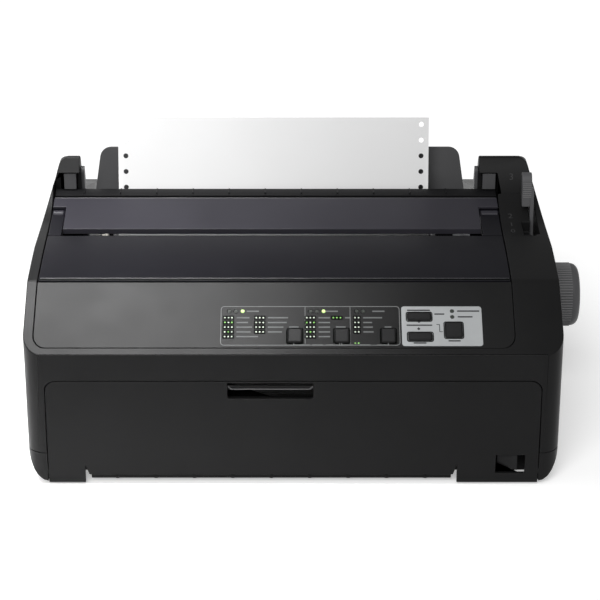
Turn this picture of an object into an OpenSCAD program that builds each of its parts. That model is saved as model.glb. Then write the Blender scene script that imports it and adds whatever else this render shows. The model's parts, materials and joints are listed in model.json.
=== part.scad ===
// Narrow-carriage dot matrix printer, as an assembly of separate pieces.
// Modules are written with X from the middle of the casing, Y from its front
// face and Z from the table; placed() moves them into the part's own frame.

/* [Casing] */
// Width of the casing without the platen knob
body_w = 398; // [392:1:410]
// Depth of the casing
body_d = 384; // [380:1:400]
// Wall thickness of the casings
wall = 2.5; // [2:0.1:3]
// Height of the underside above the table
base_z = 2.5; // [2:0.1:4]
// Height of the joint between lower and upper casing
parting_z = 26; // [25.8:0.1:28]
// Radius of the upright front corners
corner_r = 15.5; // [12:0.5:18]
// Radius of the upright rear corners
rear_corner_r = 9; // [6:0.5:14]
// Height at which the side walls start to lean in
lean_z = 151; // [146:1:156]
// How far the side walls lean in at the crest of the wings
lean_in = 11; // [8:0.5:13]
// Height of the wings' crest
wing_z = 194; // [190:1:200]
// Distance of the wings' crest behind the front face
wing_u = 195; // [194:1:200]
// Height of the casing at its rear edge
rear_z = 108; // [100:1:116]
// Height of the rear wall where the paper comes in
rear_sill_z = 70; // [66:1:76]

/* [Top opening] */
// Width of the casing's strip left of the opening
strip_left_w = 7.5; // [7:0.1:9]
// Width of the casing's band right of the opening
strip_right_w = 35.7; // [34:0.1:36.5]
// Gap along the seams of the covers
seam = 0.8; // [0.5:0.1:1]
// Width of the left wing
wing_left_w = 27.7; // [26.5:0.1:29]
// Width of the right wing
wing_right_w = 50; // [48.5:0.1:51]

/* [Control panel] */
// Height of the front face at the lower edge of the panel
front_top_z = 105.3; // [103:0.1:108]
// Slope of the panel
panel_slope = 35.8; // [34:0.1:37]
// Distance of the panel's upper edge behind the front face
kink_u = 52.9; // [51:0.1:55]
// Rim between the front edge and the panel, along the slope
panel_rim = 6.5; // [6:0.1:8]
// Thickness of the panel
panel_t = 2.5; // [2:0.1:3]
// Side of a small square button
key_w = 10.3; // [9:0.1:11]
// Width of a bar button
bar_w = 17.2; // [15:0.1:18]
// Length of a bar button along the slope
bar_l = 6.2; // [5:0.1:7]
// Side of the large square button
big_key_w = 12.4; // [11:0.1:14]
// Height of the buttons above the panel
key_h = 1.8; // [1.2:0.1:2.5]
// Clearance round a button
key_gap = 0.35; // [0.3:0.05:0.6]
// Radius of an indicator light
light_r = 1.5; // [1.2:0.1:1.8]

/* [Covers] */
// Thickness of the printer cover and the separator
lid_t = 2.5; // [2:0.1:3]
// Rear edge of the printer cover
lid_back_u = 121; // [118:1:124]
// Height of the printer cover's rear edge
lid_back_z = 153.5; // [152:0.1:155]
// Front edge of the separator
strip_front_u = 133; // [130:1:136]
// Rear edge of the separator
strip_back_u = 175; // [174:0.5:176]
// Height of the separator's rear edge
strip_back_z = 165.8; // [165:0.1:167]
// Depth of the hinge line of cover and separator
lid_hinge_u = 165; // [164:0.5:166]
// Height of the hinge line of cover and separator
lid_hinge_z = 156.6; // [156:0.1:157.5]
// Radius of the cover's hinge bosses
lid_boss_r = 3.75; // [3.5:0.05:4]
// Radius of the cover's hinge pins
lid_pin_r = 2; // [1.8:0.1:2.3]

/* [Front cover] */
// Width of the casing beside each end of the front cover
front_side_w = 16; // [15:0.5:18]
// Height of the front cover's upper edge
front_cover_top_z = 84.5; // [82:0.5:88]
// Thickness of the front cover
front_t = 3; // [2.5:0.1:3.2]
// Height of the front cover's lower edge between its legs
front_mid_z = 8; // [7.5:0.1:9]
// Height of the hinge line of the front cover
front_hinge_z = 5; // [4.9:0.05:5.5]
// Radius of the upper corners
front_corner_r = 8; // [5:0.5:10]
// Width of the finger notch
notch_w = 63.4; // [55:0.1:70]
// Height of the finger notch
notch_h = 12.7; // [10:0.1:14]

/* [Platen and frames] */
// Radius of the platen roller
platen_r = 16; // [15:0.1:16.3]
// Platen axis behind the front face
platen_u = 175; // [174:0.5:176]
// Height of the platen axis
platen_z = 82.3; // [81:0.1:84]
// Radius of the platen shaft
platen_shaft_r = 5; // [4:0.1:6]
// Radius of the platen knob
knob_r = 26.3; // [24:0.1:28]
// How far the knob reaches out of the casing's side
knob_out = 32; // [29:1:36]
// Length of the knob
knob_l = 27; // [24:0.5:28]
// Distance of the left side frame from the casing's side
frame_left_in = 33; // [32:0.1:33.5]
// Distance of the right side frame from the casing's side
frame_right_in = 55; // [54:0.1:55.5]
// Thickness of the side frames
frame_t = 1.6; // [1.2:0.1:2]
// Running clearance of shafts in their holes
run = 0.05; // [0.03:0.01:0.08]

/* [Paper] */
// Width of the continuous paper
paper_w = 250; // [241:0.5:254]
// Middle of the paper, to the left of the casing's middle
paper_mid = 16; // [13:0.5:17]
// Thickness of the paper
paper_t = 0.4; // [0.3:0.05:0.5]
// Height of the paper's upper edge
paper_top_z = 222; // [205:1:240]
// Radius of the feed holes
hole_r = 2; // [1.5:0.1:2.2]
// Spacing of the feed holes
hole_pitch = 12.7; // [12.6:0.05:12.8]
// Feed holes in from the paper's edge
hole_in = 6; // [5:0.1:7]

/* [Sheet guide] */
// Gap between the sheet guide and each side frame
guide_gap = 0.9; // [0.6:0.1:2]
// How much narrower the guide is at its upper edge, each side
guide_taper = 6; // [3:0.5:9]
// Length of the guide above its hinge
guide_l = 46; // [42:0.5:52]
// Backward lean of the guide
guide_lean = 10; // [6:0.5:14]
// Thickness of the guide
guide_t = 2.5; // [2:0.1:3]

/* [Gears] */
// Gear module
gear_m = 1; // [0.98:0.01:1.02]
// Thickness of the gears
gear_t = 5; // [4:0.1:5.4]
// Teeth of the motor pinion
pinion_teeth = 16; // [14:2:18]
// Teeth of the platen gear
platen_teeth = 50; // [48:2:52]
// Teeth of the idler gear
idler_teeth = 46; // [44:2:48]
// Teeth of the tractor gear
tractor_teeth = 30; // [28:2:32]

/* [Carriage] */
// Carriage rod behind the front face
rod_u = 118; // [117:0.5:119]
// Height of the carriage rod
rod_z = 60; // [59.5:0.1:60.5]
// Radius of the carriage rod
rod_r = 6; // [5:0.1:6.5]
// Width of the carriage
carriage_w = 44; // [38:1:46]
// Place of the carriage at rest, left of the casing's middle
carriage_home = 126; // [120:1:127]
// Pitch radius of the belt pulleys
pulley_r = 6.3; // [6:0.05:6.5]
// Width of the timing belt
belt_w = 6; // [5:0.1:6.5]

/* [Tractors] */
// Length of the sprockets' pins
pin_h = 3; // [2.5:0.1:3.2]
// Side of the square tractor shaft
square_w = 8; // [7.6:0.1:8.4]
// Radius of the tractor support rail
rail_r = 4; // [3.6:0.1:4.4]
// Width of a tractor outside its pins
tractor_out = 14; // [13:0.5:14.5]
// Width of a tractor inside its pins
tractor_in = 9; // [8:0.5:12]

/* [Thickness lever] */
// Distance of the lever's middle from the casing's side
lever_in = 14.5; // [14:0.1:15.5]
// Width of the lever
lever_w = 8; // [6:0.5:8.5]
// Radius of the lever's tip about its axle
lever_len = 88; // [84:1:90]

/* [Hidden] */

$fn = 48;
eps = 0.01;
half_w = body_w/2;
open_left = half_w - strip_left_w;
open_right = half_w - strip_right_w;
bay_left = half_w - wing_left_w;
bay_right = half_w - wing_right_w;
frame_left = half_w - frame_left_in;
frame_right = half_w - frame_right_in;
in_left = -frame_left + frame_t;
in_right = frame_right - frame_t;
knob_reach = half_w + knob_out;
lever_x = half_w - lever_in;
// The knob makes the whole longer on one side, so the middle lies to the right
side_shift = (knob_reach - half_w)/2;

casing_grey = [0.2, 0.2, 0.21];
smoke_grey = [0.15, 0.15, 0.18];
mid_grey = [0.36, 0.36, 0.37];
dark_grey = [0.1, 0.1, 0.11];
steel_grey = [0.62, 0.63, 0.65];
board_green = [0.1, 0.35, 0.2];

// ---- helpers ----
module placed() translate([-side_shift, -body_d/2, 0]) children();
// 2-D outlines in (Y, Z) drawn out along X
module along_x(x0, x1) translate([x0, 0, 0]) rotate([90, 0, 90]) linear_extrude(x1 - x0) children();
// 2-D outlines in (X, Z) drawn out along Y
module along_y(y0, y1) translate([0, y1, 0]) rotate([90, 0, 0]) linear_extrude(y1 - y0) children();
module box(low, high) translate(low) cube(high - low);
module rod_x(x0, x1, u, z, r) translate([x0, u, z]) rotate([0, 90, 0]) cylinder(h = x1 - x0, r = r);
module rounded(w, l, r) {
    square([w - 2*r, l], center = true);
    square([w, l - 2*r], center = true);
    for (x = [-1, 1], y = [-1, 1]) translate([x*(w/2 - r), y*(l/2 - r)]) circle(r = r, $fn = 24);
}
// The same between two X values given in any order
module rod_to(xa, xb, u, z, r) rod_x(min(xa, xb), max(xa, xb), u, z, r);
function arc(c, rx, ry, a0, a1, n) =
    [for (i = [0:n]) let (a = a0 + (a1 - a0)*i/n) c + [rx*cos(a), ry*sin(a)]];
function curve(p0, p1, p2, n) =
    [for (i = [0:n]) let (t = i/n) (1 - t)*(1 - t)*p0 + 2*t*(1 - t)*p1 + t*t*p2];

// ---- outer form of the casing ----
kink_z = front_top_z + kink_u*tan(panel_slope);
panel_l = kink_u/cos(panel_slope);
strip_front_z = lid_back_z + 1.2;
sweep_u = 140;
sweep_z = 155;
lid_mid_u = (kink_u + lid_back_u)/2;
lid_mid_z = (kink_z + lid_back_z)/2 + 1.9;
edge_r = 1.5;
lid_line = curve([kink_u, kink_z], [lid_mid_u, lid_mid_z], [lid_back_u, lid_back_z], 8);
// Foot of the wings' steep rear face
wing_foot = [wing_u + 12, 163];
// Side view of the casing: front edge, panel, cover line, wing, slope to the rear
case_top = concat(
    arc([edge_r, front_top_z - edge_r*0.35], edge_r, edge_r, 180, 180 - 90 + panel_slope, 5),
    curve([kink_u, kink_z] - 3*[cos(panel_slope), sin(panel_slope)], [kink_u, kink_z],
        [kink_u, kink_z] + 3*[0.98, 0.19], 4),
    [for (i = [1:8]) lid_line[i]],
    curve([sweep_u, sweep_z], [172, 158], [wing_u - 2, wing_z - 1.5], 10),
    curve([wing_u, wing_z - 0.4], [wing_u + 8, wing_z + 0.5], [wing_foot[0] - 1, wing_z - 18], 6),
    [wing_foot],
    arc([body_d - 14, rear_z - 9], 14, 14, 72, 0, 5));
// The wings' rear face is so steep that its wall is measured along Y
function drop_share(u) = u > wing_u && u <= wing_foot[0] ? (u - wing_u)/(wing_foot[0] - wing_u) : 0;
function inset(p, t) =
    [min(max(p[0], t), body_d - t) - t*drop_share(p[0]), p[1] - t/cos(panel_slope)];
module side_outline(t, low)
    polygon(concat([[t, low]], [for (p = case_top) inset(p, t)], [[body_d - t, low]]));

foot_in = 16;
foot_up = 25.5;
// Half axes of the rounding along the wings' outer upper edge
crest_round = [13, 7];
function half_front(t) = concat(
    [[0, base_z + t]],
    arc([half_w - foot_in - t*0.3, base_z + foot_up], foot_in - t*0.7, foot_up - t, -90, 0, 6),
    [[half_w - t, lean_z]],
    arc([half_w - lean_in - crest_round[0], wing_z + 0.3 - crest_round[1]], crest_round[0] - t,
        crest_round[1] - t, 9, 90, 6));
module front_outline(t) {
    pts = half_front(t);
    n = len(pts);
    polygon(concat(pts, [for (i = [0:n - 1]) [-pts[n - 1 - i][0], pts[n - 1 - i][1]]]));
}
module plan_outline(t) {
    w = half_w - t;
    rf = corner_r - t;
    rr = rear_corner_r - t;
    polygon(concat(
        arc([w - rf, t + rf], rf, rf, -90, 0, 8), arc([w - rr, body_d - t - rr], rr, rr, 0, 90, 6),
        arc([rr - w, body_d - t - rr], rr, rr, 90, 180, 6), arc([rf - w, t + rf], rf, rf, 180, 270, 8)));
}
module case_form(t, low) intersection() {
    along_x(-half_w - 1, half_w + 1) side_outline(t, low);
    along_y(-1, body_d + 1) front_outline(t);
    linear_extrude(wing_z + 20) plan_outline(t);
}

// ---- front cover sizes ----
front_half = half_w - front_side_w;
front_gap = 0.5;
leg_left = [-front_half, 27.4 - front_half];
leg_right = [front_half - 60.6, front_half];
front_mid = [30.3 - front_half, front_half - 63.4];
front_low_z = front_hinge_z - 3.5;
front_hinge_u = 3.5;
front_pin_r = 1.8;
front_recess = 18;
window_x = [front_half - 31.8, front_half - 10];
window_z = [9.3, 24.1];
notch_x = -48.6;
notch_top_z = 83.2;

// ---- lower casing ----
floor_z = base_z + wall;
board_z = 11;
board_posts = [[-140, 225], [50, 225], [-140, body_d - 32], [50, body_d - 32]];
foot_r = 9;
foot_x = half_w - 39;
feet_u = [44, body_d - 44];
nub_count = 9;
nub_pitch = 28.9;
nub_x = -132.1;
nub_r = 1.6;
// Screws through the casing's rear wall into posts of the lower casing
screw_x = [49 - half_w, -52, 60, half_w - 49];
screw_z = 33;
screw_r = 1.5;
screw_head_r = 3;
screw_l = 9;
post_half = 4;
module lower_case() color(casing_grey) {
    difference() {
        intersection() {
            case_form(0, -1);
            box([-half_w, 0, 0], [half_w, body_d, parting_z]);
        }
        difference() {
            case_form(wall, -1);
            box([-half_w, 0, -1], [half_w, body_d, floor_z]);
            // wall behind the front cover
            box([-half_w, 0, 0], [half_w, front_recess + wall, wing_z]);
        }
        box([-front_half - front_gap, -1, -1], [front_half + front_gap, front_recess, parting_z + 1]);
        // pockets at both ends of the recess, inside the hinge cheeks
        for (s = [-1, 1]) rod_to(s*(front_half - 1), s*(front_half + 5), front_hinge_u, front_hinge_z,
            front_pin_r + run);
        for (c = connector_list) box([c[0] - c[1]/2 - 0.6, body_d - wall - 1, board_z + 1],
            [c[0] + c[1]/2 + 0.6, body_d + 1, parting_z - 0.8]);
        for (x = [-foot_x, foot_x], u = feet_u)
            translate([x, u, base_z - 1]) cylinder(h = 2, r = foot_r + 0.1);
    }
    // bar under the front cover with its row of nubs
    box([front_mid[0] + 1, front_t + 2, base_z],
        [front_mid[1] - 1, front_recess + eps, front_mid_z - 1.4]);
    for (i = [0:nub_count - 1])
        translate([nub_x + i*nub_pitch, front_t + 2.9, base_z]) cylinder(h = 3.2, r = nub_r);
    // lugs above and below the power rocker
    for (z = [[rocker_z[0] - 3, rocker_z[0] - 0.4], [rocker_z[1] + 0.4, parting_z]]) difference() {
        box([rocker_x[0] + 1, 6.5, z[0]], [rocker_x[1] - 1, front_recess + eps, z[1]]);
        translate([rocker_mid, rocker_axis_u, rocker_z[0] - rocker_pin_l - 0.1])
            cylinder(h = rocker_z[1] - rocker_z[0] + 2*rocker_pin_l + 0.2, r = rocker_pin_r + run);
    }
    for (p = board_posts)
        translate([p[0], p[1], floor_z - eps]) cylinder(h = board_z - floor_z + eps, r = 4);
    // posts that the rear screws go into
    difference() {
        for (x = screw_x) box([x - post_half, body_d - wall - 9.3, floor_z - eps],
            [x + post_half, body_d - wall - 0.3, screw_z + post_half]);
        screw_holes(0);
    }
}

// ---- upper casing ----
skirt_t = 2;
skirt_low = 90;
bay_low = 95;
strip_end_u = 192;
eyebrow_z = 182.4;
inlet_x = in_right - 30.4;
inlet_z = 41;
inlet_w = 27.4;
inlet_h = 19.8;
lever_axle = [148, 104];
lever_axle_r = 4;
lever_slot_u = [124, 174];
lever_slot_x = [lever_x + 2, lever_x + 7.3];
// Finger scoop in front of the lever, in (Y, Z)
scoop = [[113, 156], [142, 147], [146, 147], [146, 175], [113, 175]];
scoop_x = [lever_x - 5, lever_x + 4.5];
scoop_t = 2.5;
vent_count = 11;
open_front_u = panel_rim*cos(panel_slope);
notch_low_z = 165.5;
notch_side = 0.6;
module notch_box(side) {
    low = side < 0 ? -187 : bay_right + wall + notch_side;
    high = side < 0 ? -bay_left - wall - notch_side : open_right;
    box([low, strip_end_u - 8, notch_low_z], [high, strip_end_u + wall + 1, eyebrow_z - 0.4]);
}
module liners() {
    box([-open_left - skirt_t, 0, skirt_low], [-open_left, strip_end_u + wall, wing_z]);
    box([open_right, 0, skirt_low], [open_right + skirt_t, strip_end_u + wall, wing_z]);
    box([-open_left - eps, strip_end_u, bay_low], [-bay_left, strip_end_u + wall, wing_z + 9]);
    box([bay_right, strip_end_u, bay_low], [open_right + eps, strip_end_u + wall, wing_z + 9]);
    box([-bay_left - wall, strip_end_u, bay_low], [-bay_left, body_d, wing_z + 9]);
    box([bay_right, strip_end_u, bay_low], [bay_right + wall, body_d, wing_z + 9]);
}
module panel_ledges() on_panel() {
    box([-open_left - 1, panel_rim - 2, -panel_t - 2], [open_right + 1, panel_rim + 3, -panel_t]);
    for (x = [-open_left - 1, open_right - 4])
        box([x, panel_rim - 2, -panel_t - 2], [x + 5, panel_l - 4, -panel_t]);
}
module on_panel() translate([0, 0, front_top_z]) rotate([panel_slope, 0, 0]) children();
module opening_plan(gap) {
    r = 9;
    polygon(concat(
        arc([open_right - gap - r, open_front_u + gap + r], r, r, -90, 0, 6),
        [[open_right - gap, strip_end_u], [-open_left + gap, strip_end_u]],
        arc([-open_left + gap + r, open_front_u + gap + r], r, r, 180, 270, 6)));
}
module top_case() color(casing_grey) {
    difference() {
        case_form(0, -1);
        box([-half_w - 1, -1, -1], [half_w + 1, body_d + 1, parting_z]);
        difference() {
            case_form(wall, -1);
            liners();
            // band behind the front face that the panel's ledges stand on
            box([-half_w, 0, front_cover_top_z - 1], [half_w, wall*2, front_top_z]);
            // floor under the lever's finger scoop
            along_x(scoop_x[0] - scoop_t, lever_slot_x[1] + scoop_t) polygon([scoop[0] - [scoop_t, scoop_t],
                scoop[1] - [0, scoop_t], scoop[2] + [scoop_t, -scoop_t], scoop[3] + [scoop_t, 0],
                scoop[4] - [scoop_t, 0]]);
        }
        // opening of panel and covers, and the slot behind them, under the wings' brows
        intersection() {
            translate([0, 0, skirt_low - 2]) linear_extrude(wing_z) opening_plan(0);
            union() {
                box([-half_w, -1, 0], [half_w, 178, wing_z + 20]);
                box([-half_w, 177, 0], [half_w, strip_end_u + eps, eyebrow_z]);
                box([-bay_left, 177, 0], [bay_right, strip_end_u + 5, wing_z + 20]);
            }
        }
        box([-open_left, open_front_u + 10, bay_low - 20], [open_right, strip_end_u, bay_low + 20]);
        // bay between the wings
        box([-bay_left, strip_end_u - 3, bay_low - 1], [bay_right, body_d + 1, wing_z + 20]);
        box([-bay_left, body_d - 20, rear_sill_z], [bay_right, body_d + 1, bay_low]);
        for (side = [-1, 1]) notch_box(side);
        // wedge-shaped gap between the separator's right end and the wing
        along_y(174, strip_end_u + 1) polygon([[open_right - 1, eyebrow_z], [open_right + 0.2, eyebrow_z],
            [open_right + 4.6, 159], [open_right + 4.6, 150], [open_right - 1, 150]]);
        // opening of the front cover
        along_y(-1, wall*2 + 1) front_opening();
        // hinge holes of the printer cover
        rod_x(-open_left - skirt_t - 1, -open_left + 1, lid_hinge_u, lid_hinge_z, lid_pin_r + run);
        rod_x(open_right - 1, open_right + skirt_t + 1, lid_hinge_u, lid_hinge_z, lid_pin_r + run);
        // platen shaft, lever slot with its finger scoop, power inlet, side vents
        rod_x(half_w - wall - 1, half_w + 1, platen_u, platen_z, platen_shaft_r + 1);
        box([lever_slot_x[0], lever_slot_u[0], 130], [lever_slot_x[1], lever_slot_u[1], wing_z]);
        along_x(scoop_x[0], scoop_x[1]) polygon(scoop);
        rod_x(open_right - 1, open_right + skirt_t + 1, lever_axle[0], lever_axle[1], lever_axle_r + 0.5);
        screw_holes(screw_head_r + 0.1);
        box([inlet_x - inlet_w/2, body_d - 5, inlet_z - inlet_h/2], [inlet_x + inlet_w/2, body_d + 1,
            inlet_z + inlet_h/2]);
        for (i = [0:vent_count - 1], s = [-1, 1])
            box([s*(half_w - wall/2) - wall, 236 + i*9, 40], [s*(half_w - wall/2) + wall, 240 + i*9, 78]);
    }
    panel_ledges();
}

module rubber_feet() color(dark_grey)
    for (x = [-foot_x, foot_x], u = feet_u) translate([x, u, 0]) cylinder(h = base_z + 1, r = foot_r);

module at_screws() for (x = screw_x) translate([x, body_d, screw_z]) rotate([90, 0, 0]) children();
// Bores for the screws, with a seat of radius seat_r for their heads
module screw_holes(seat_r) at_screws() {
    translate([0, 0, -1]) cylinder(h = screw_l + 2, r = screw_r + run);
    if (seat_r > 0) translate([0, 0, -1]) cylinder(h = 2.1, r = seat_r);
}
module case_screws() color(steel_grey) at_screws() {
    translate([0, 0, 0.2]) cylinder(h = 0.9, r = screw_head_r);
    translate([0, 0, 1]) cylinder(h = screw_l - 1, r = screw_r);
}

// ---- gear train on the left side frame ----
function gear_radius(teeth) = gear_m*teeth/2;
pinion_dir = -56;
idler_dir = -10;
tractor_dir = 20;
platen_at = [platen_u, platen_z];
function toward(from, dist, a) = from + dist*[cos(a), sin(a)];
pinion_at = toward(platen_at, gear_radius(platen_teeth) + gear_radius(pinion_teeth), pinion_dir);
idler_at = toward(platen_at, gear_radius(platen_teeth) + gear_radius(idler_teeth), idler_dir);
tractor_at = toward(idler_at, gear_radius(idler_teeth) + gear_radius(tractor_teeth), tractor_dir);
// Turn of a gear so that its gap meets the tooth of the one before it
function mesh(dir, teeth0, turn0, teeth1) = dir + 180 - 180/teeth1 + (dir - turn0)*teeth0/teeth1;
pinion_turn = mesh(pinion_dir, platen_teeth, 0, pinion_teeth);
idler_turn = mesh(idler_dir, platen_teeth, 0, idler_teeth);
tractor_turn = mesh(tractor_dir, idler_teeth, idler_turn, tractor_teeth);
module gear_outline(teeth, turn) {
    r = gear_radius(teeth);
    pitch = 360/teeth;
    tip = r + 0.75*gear_m;
    root = r - 1.1*gear_m;
    polygon([for (i = [0:teeth - 1], k = [[-0.31, root], [-0.12, tip], [0.12, tip], [0.31, root]])
        let (a = turn + (i + k[0])*pitch) k[1]*[cos(a), sin(a)]]);
}
gear_x0 = -frame_left + frame_t + 1.9;
module gear(at, teeth, turn, bore) along_x(gear_x0, gear_x0 + gear_t) translate(at) difference() {
    gear_outline(teeth, turn);
    circle(r = bore);
}

// ---- side frames ----
frame_u = [58, body_d - 39];
stud_r = 3;
motor_shaft_r = 2.5;
guide_pivot = [213, 148];
guide_pin_r = 2.5;
rail_at = tractor_at + [25, -6];
cart_u = [62, 92];
cart_z = [84, 104];
bush_r = platen_shaft_r + 3;
exit_seat_z = 162;
frame_outline = [[frame_u[0], floor_z], [frame_u[1], floor_z], [frame_u[1], 92], [290, 112], [228, 124],
    [222, 156], [205, 156], [201, 140], [191, 140], [191, exit_seat_z], [180.5, exit_seat_z], [178, 126],
    [140, 118], [100, 108], [frame_u[0], 106]];
module side_frame(x0) difference() {
    along_x(x0, x0 + frame_t) polygon(frame_outline);
    rod_x(x0 - 1, x0 + frame_t + 1, platen_u, platen_z, bush_r);
    rod_x(x0 - 1, x0 + frame_t + 1, rod_u, rod_z, rod_r);
    rod_x(x0 - 1, x0 + frame_t + 1, tractor_at[0], tractor_at[1], square_w/2 + run);
    rod_x(x0 - 1, x0 + frame_t + 1, rail_at[0], rail_at[1], rail_r);
    rod_x(x0 - 1, x0 + frame_t + 1, guide_pivot[0], guide_pivot[1], guide_pin_r + run);
    // lightening windows
    box([x0 - 1, 230, 24], [x0 + frame_t + 1, 330, 44]);
    box([x0 - 1, 130, 20], [x0 + frame_t + 1, 165, 42]);
}
module side_frames() color(steel_grey) {
    // left frame with the stud of the idler gear
    difference() {
        side_frame(-frame_left);
        rod_x(-frame_left - 1, -frame_left + frame_t + 1, pinion_at[0], pinion_at[1], motor_shaft_r + 1);
    }
    rod_x(-frame_left + frame_t - eps, gear_x0 + gear_t + 1.5, idler_at[0], idler_at[1], stud_r);
    // right frame with the hole of the lever's axle
    difference() {
        side_frame(frame_right - frame_t);
        rod_x(frame_right - frame_t - 1, frame_right + 1, lever_axle[0], lever_axle[1], lever_axle_r + run);
    }
}

// Sheet-metal cover over the electronics
shield_u = [206, body_d - 24];
shield_z = 56;
shield_t = 1.2;
module shield_plate() color(steel_grey) {
    x0 = gear_x0 + gear_t + 3;
    box([x0, shield_u[0], shield_z], [in_right, shield_u[1], shield_z + shield_t]);
    box([x0, shield_u[0], floor_z], [in_right, shield_u[0] + shield_t, shield_z + eps]);
    // rear leg, cut away over the main board and its connectors
    box([x0, shield_u[1] - shield_t, parting_z + 1], [in_right, shield_u[1], shield_z + eps]);
    box([board_x[1] + 2, shield_u[1] - shield_t, floor_z], [in_right, shield_u[1], parting_z + 1 + eps]);
}

// Ribbed wall behind the front cover
front_guide_u = 22;
module front_paper_guide() color(dark_grey) {
    along_x(in_left, in_right) polygon(concat(
        [[front_guide_u, floor_z], [front_guide_u, 70]],
        curve([front_guide_u, 70], [front_guide_u, 80], [front_guide_u - 9, 82], 5),
        curve([front_guide_u - 9, 84], [front_guide_u + wall, 83], [front_guide_u + wall, 70], 5),
        [[front_guide_u + wall, floor_z]]));
    for (i = [0:nub_count - 1]) translate([nub_x + i*nub_pitch, 0, 0])
        box([-1, front_guide_u - 2.5, parting_z + 1], [1, front_guide_u + eps, 68]);
}

// Dark band behind the separator, over which the paper leaves
exit_u = [179.2, 192];
exit_z = 167.5;
module exit_guide() color(dark_grey) {
    along_x(-open_left + seam, open_right - seam) polygon(concat(
        [[exit_u[0], exit_seat_z], [exit_u[0], exit_z - 1.5]],
        curve([exit_u[0], exit_z - 1.5], [exit_u[0] + 6, exit_z], [exit_u[1] - 1, exit_z], 4),
        [[exit_u[1] - 0.3, exit_z - 0.7], [exit_u[1] - 0.3, exit_seat_z + 1],
        [exit_u[1] - 1.3, exit_seat_z]]));
    for (i = [0:10]) translate([-open_left + 24 + i*29, 0, 0])
        box([-0.6, exit_u[0] + 2, exit_z - 2], [0.6, exit_u[1] - 1, exit_z + 0.4]);
}

// Grey blocks in the wings' notches, and the thin cheeks beside the sheet guide
module guide_brackets() color(mid_grey) {
    block_u = [strip_end_u + 0.3, strip_end_u + wall + 0.7];
    for (x = [[-184, -bay_left - wall - notch_side], [bay_right + wall + notch_side, open_right - 1]]) {
        box([x[0], block_u[0], notch_low_z], [x[1], block_u[1], 181.5]);
        box([x[0], strip_end_u - 4.5, exit_z + 0.8], [x[1], block_u[0] + eps, 181.5]);
    }
    for (x = [-bay_left, bay_right - 2.6]) along_x(x, x + 2.6) polygon(concat(
        [[198, 150], [198, 178]], curve([198, 178], [198, 183], [203, 183], 4), [[212, 160], [212, 150]]));
}

// ---- control panel ----
key_list = [[1.1, 16.8, key_w], [35.6, 16.8, key_w], [70, 16.8, key_w]];
bar_list = [[93, 33.3], [93.4, 16.1]];
big_key = [118.2, 21.7];
light_row = 38.2;
light_x = [-47.3, -42.6, -37.5, 12.7, 17.5, 22.4, 47, 51.7, 117.5];
light_list = concat([for (x = light_x) [x, light_row]], [[117.5, 33.2]]);
silver = [79.9, 139.3, 8.2, 42.3];
board_low = -9.4;
panel_edge_r = 2;
flange = 1.1;
module keys(grow) {
    for (k = key_list) translate([k[0], k[1]]) rounded(key_w + 2*grow, key_w + 1.2 + 2*grow, 1.2);
    for (b = bar_list) translate(b) rounded(bar_w + 2*grow, bar_l + 2*grow, 1.2);
    translate(big_key) rounded(big_key_w + 2*grow, big_key_w + 2*grow, 1.2);
}
module control_panel() color(casing_grey) {
    difference() {
        on_panel() along_x(-open_left, open_right) polygon(concat([[0, -panel_t], [0, 0]],
            arc([panel_l - 0.4 - panel_edge_r, -panel_edge_r], panel_edge_r, panel_edge_r, 90, 0, 4),
            [[panel_l - 0.4, -panel_t]]));
        difference() {
            box([-half_w, -20, 60], [half_w, kink_u + 20, 200]);
            translate([0, 0, 50]) linear_extrude(170) intersection() {
                opening_plan(0.4);
                translate([-half_w, 0]) square([body_w, kink_u]);
            }
        }
        on_panel() translate([0, 0, -panel_t - 1]) linear_extrude(panel_t + 2) keys(key_gap);
        for (p = light_list)
            on_panel() translate([p[0], p[1], -panel_t - 1]) cylinder(h = 9, r = light_r + 0.1);
    }
    // posts for the board
    for (x = [-56, 148], y = [14, 42])
        on_panel() translate([x, y, board_low]) cylinder(h = -board_low - 1, r = 2.5);
    // lip in front of the printer cover's front flange
    on_panel() box([-open_left + 8, panel_l - 9, -panel_t - 5],
        [open_right - 8, panel_l - 6.4, -panel_t + eps]);
}
module panel_overlay() color([0.63, 0.64, 0.64]) on_panel() difference() {
    box([silver[0], silver[2], 0], [silver[1], silver[3], 0.3]);
    translate([0, 0, -1]) linear_extrude(2) keys(key_gap);
    for (p = light_list) translate([p[0], p[1], -1]) cylinder(h = 9, r = light_r + 0.1);
}
module indicator_lights() color([0.85, 1, 0.4]) on_panel() for (p = light_list)
    translate([p[0], p[1], board_low]) cylinder(h = 0.4 - board_low, r = light_r);
module panel_board() on_panel() {
    box([-62, 8, board_low - 1.6], [152, 48, board_low]);
    for (k = concat(key_list, bar_list, [big_key]))
        translate([k[0] - 3, k[1] - 2.5, board_low - eps]) cube([6, 5, 1.4]);
}
key_low = board_low + 2.8;
module button(at, w, l) on_panel() translate([at[0], at[1], 0]) {
    translate([0, 0, key_low]) linear_extrude(key_h - 0.5 - key_low) rounded(w, l, 1.2);
    translate([0, 0, key_h - 0.5 - eps]) linear_extrude(0.5 + eps) rounded(w - 0.7, l - 0.7, 0.9);
    // collar that keeps the button in the panel
    translate([0, 0, -panel_t - 0.3 - 1.2]) linear_extrude(1.2) rounded(w + 2*flange, l + 2*flange, 1);
}
module square_button(i) color(mid_grey) button(key_list[i], key_w, key_w + 1.2);
module select_button_left() square_button(0);
module select_button_right() square_button(1);
module set_button() square_button(2);
module load_button() color(mid_grey) button(bar_list[0], bar_w, bar_l);
module feed_button() color(mid_grey) button(bar_list[1], bar_w, bar_l);
module pause_button() color(mid_grey) button(big_key, big_key_w, big_key_w);

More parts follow.
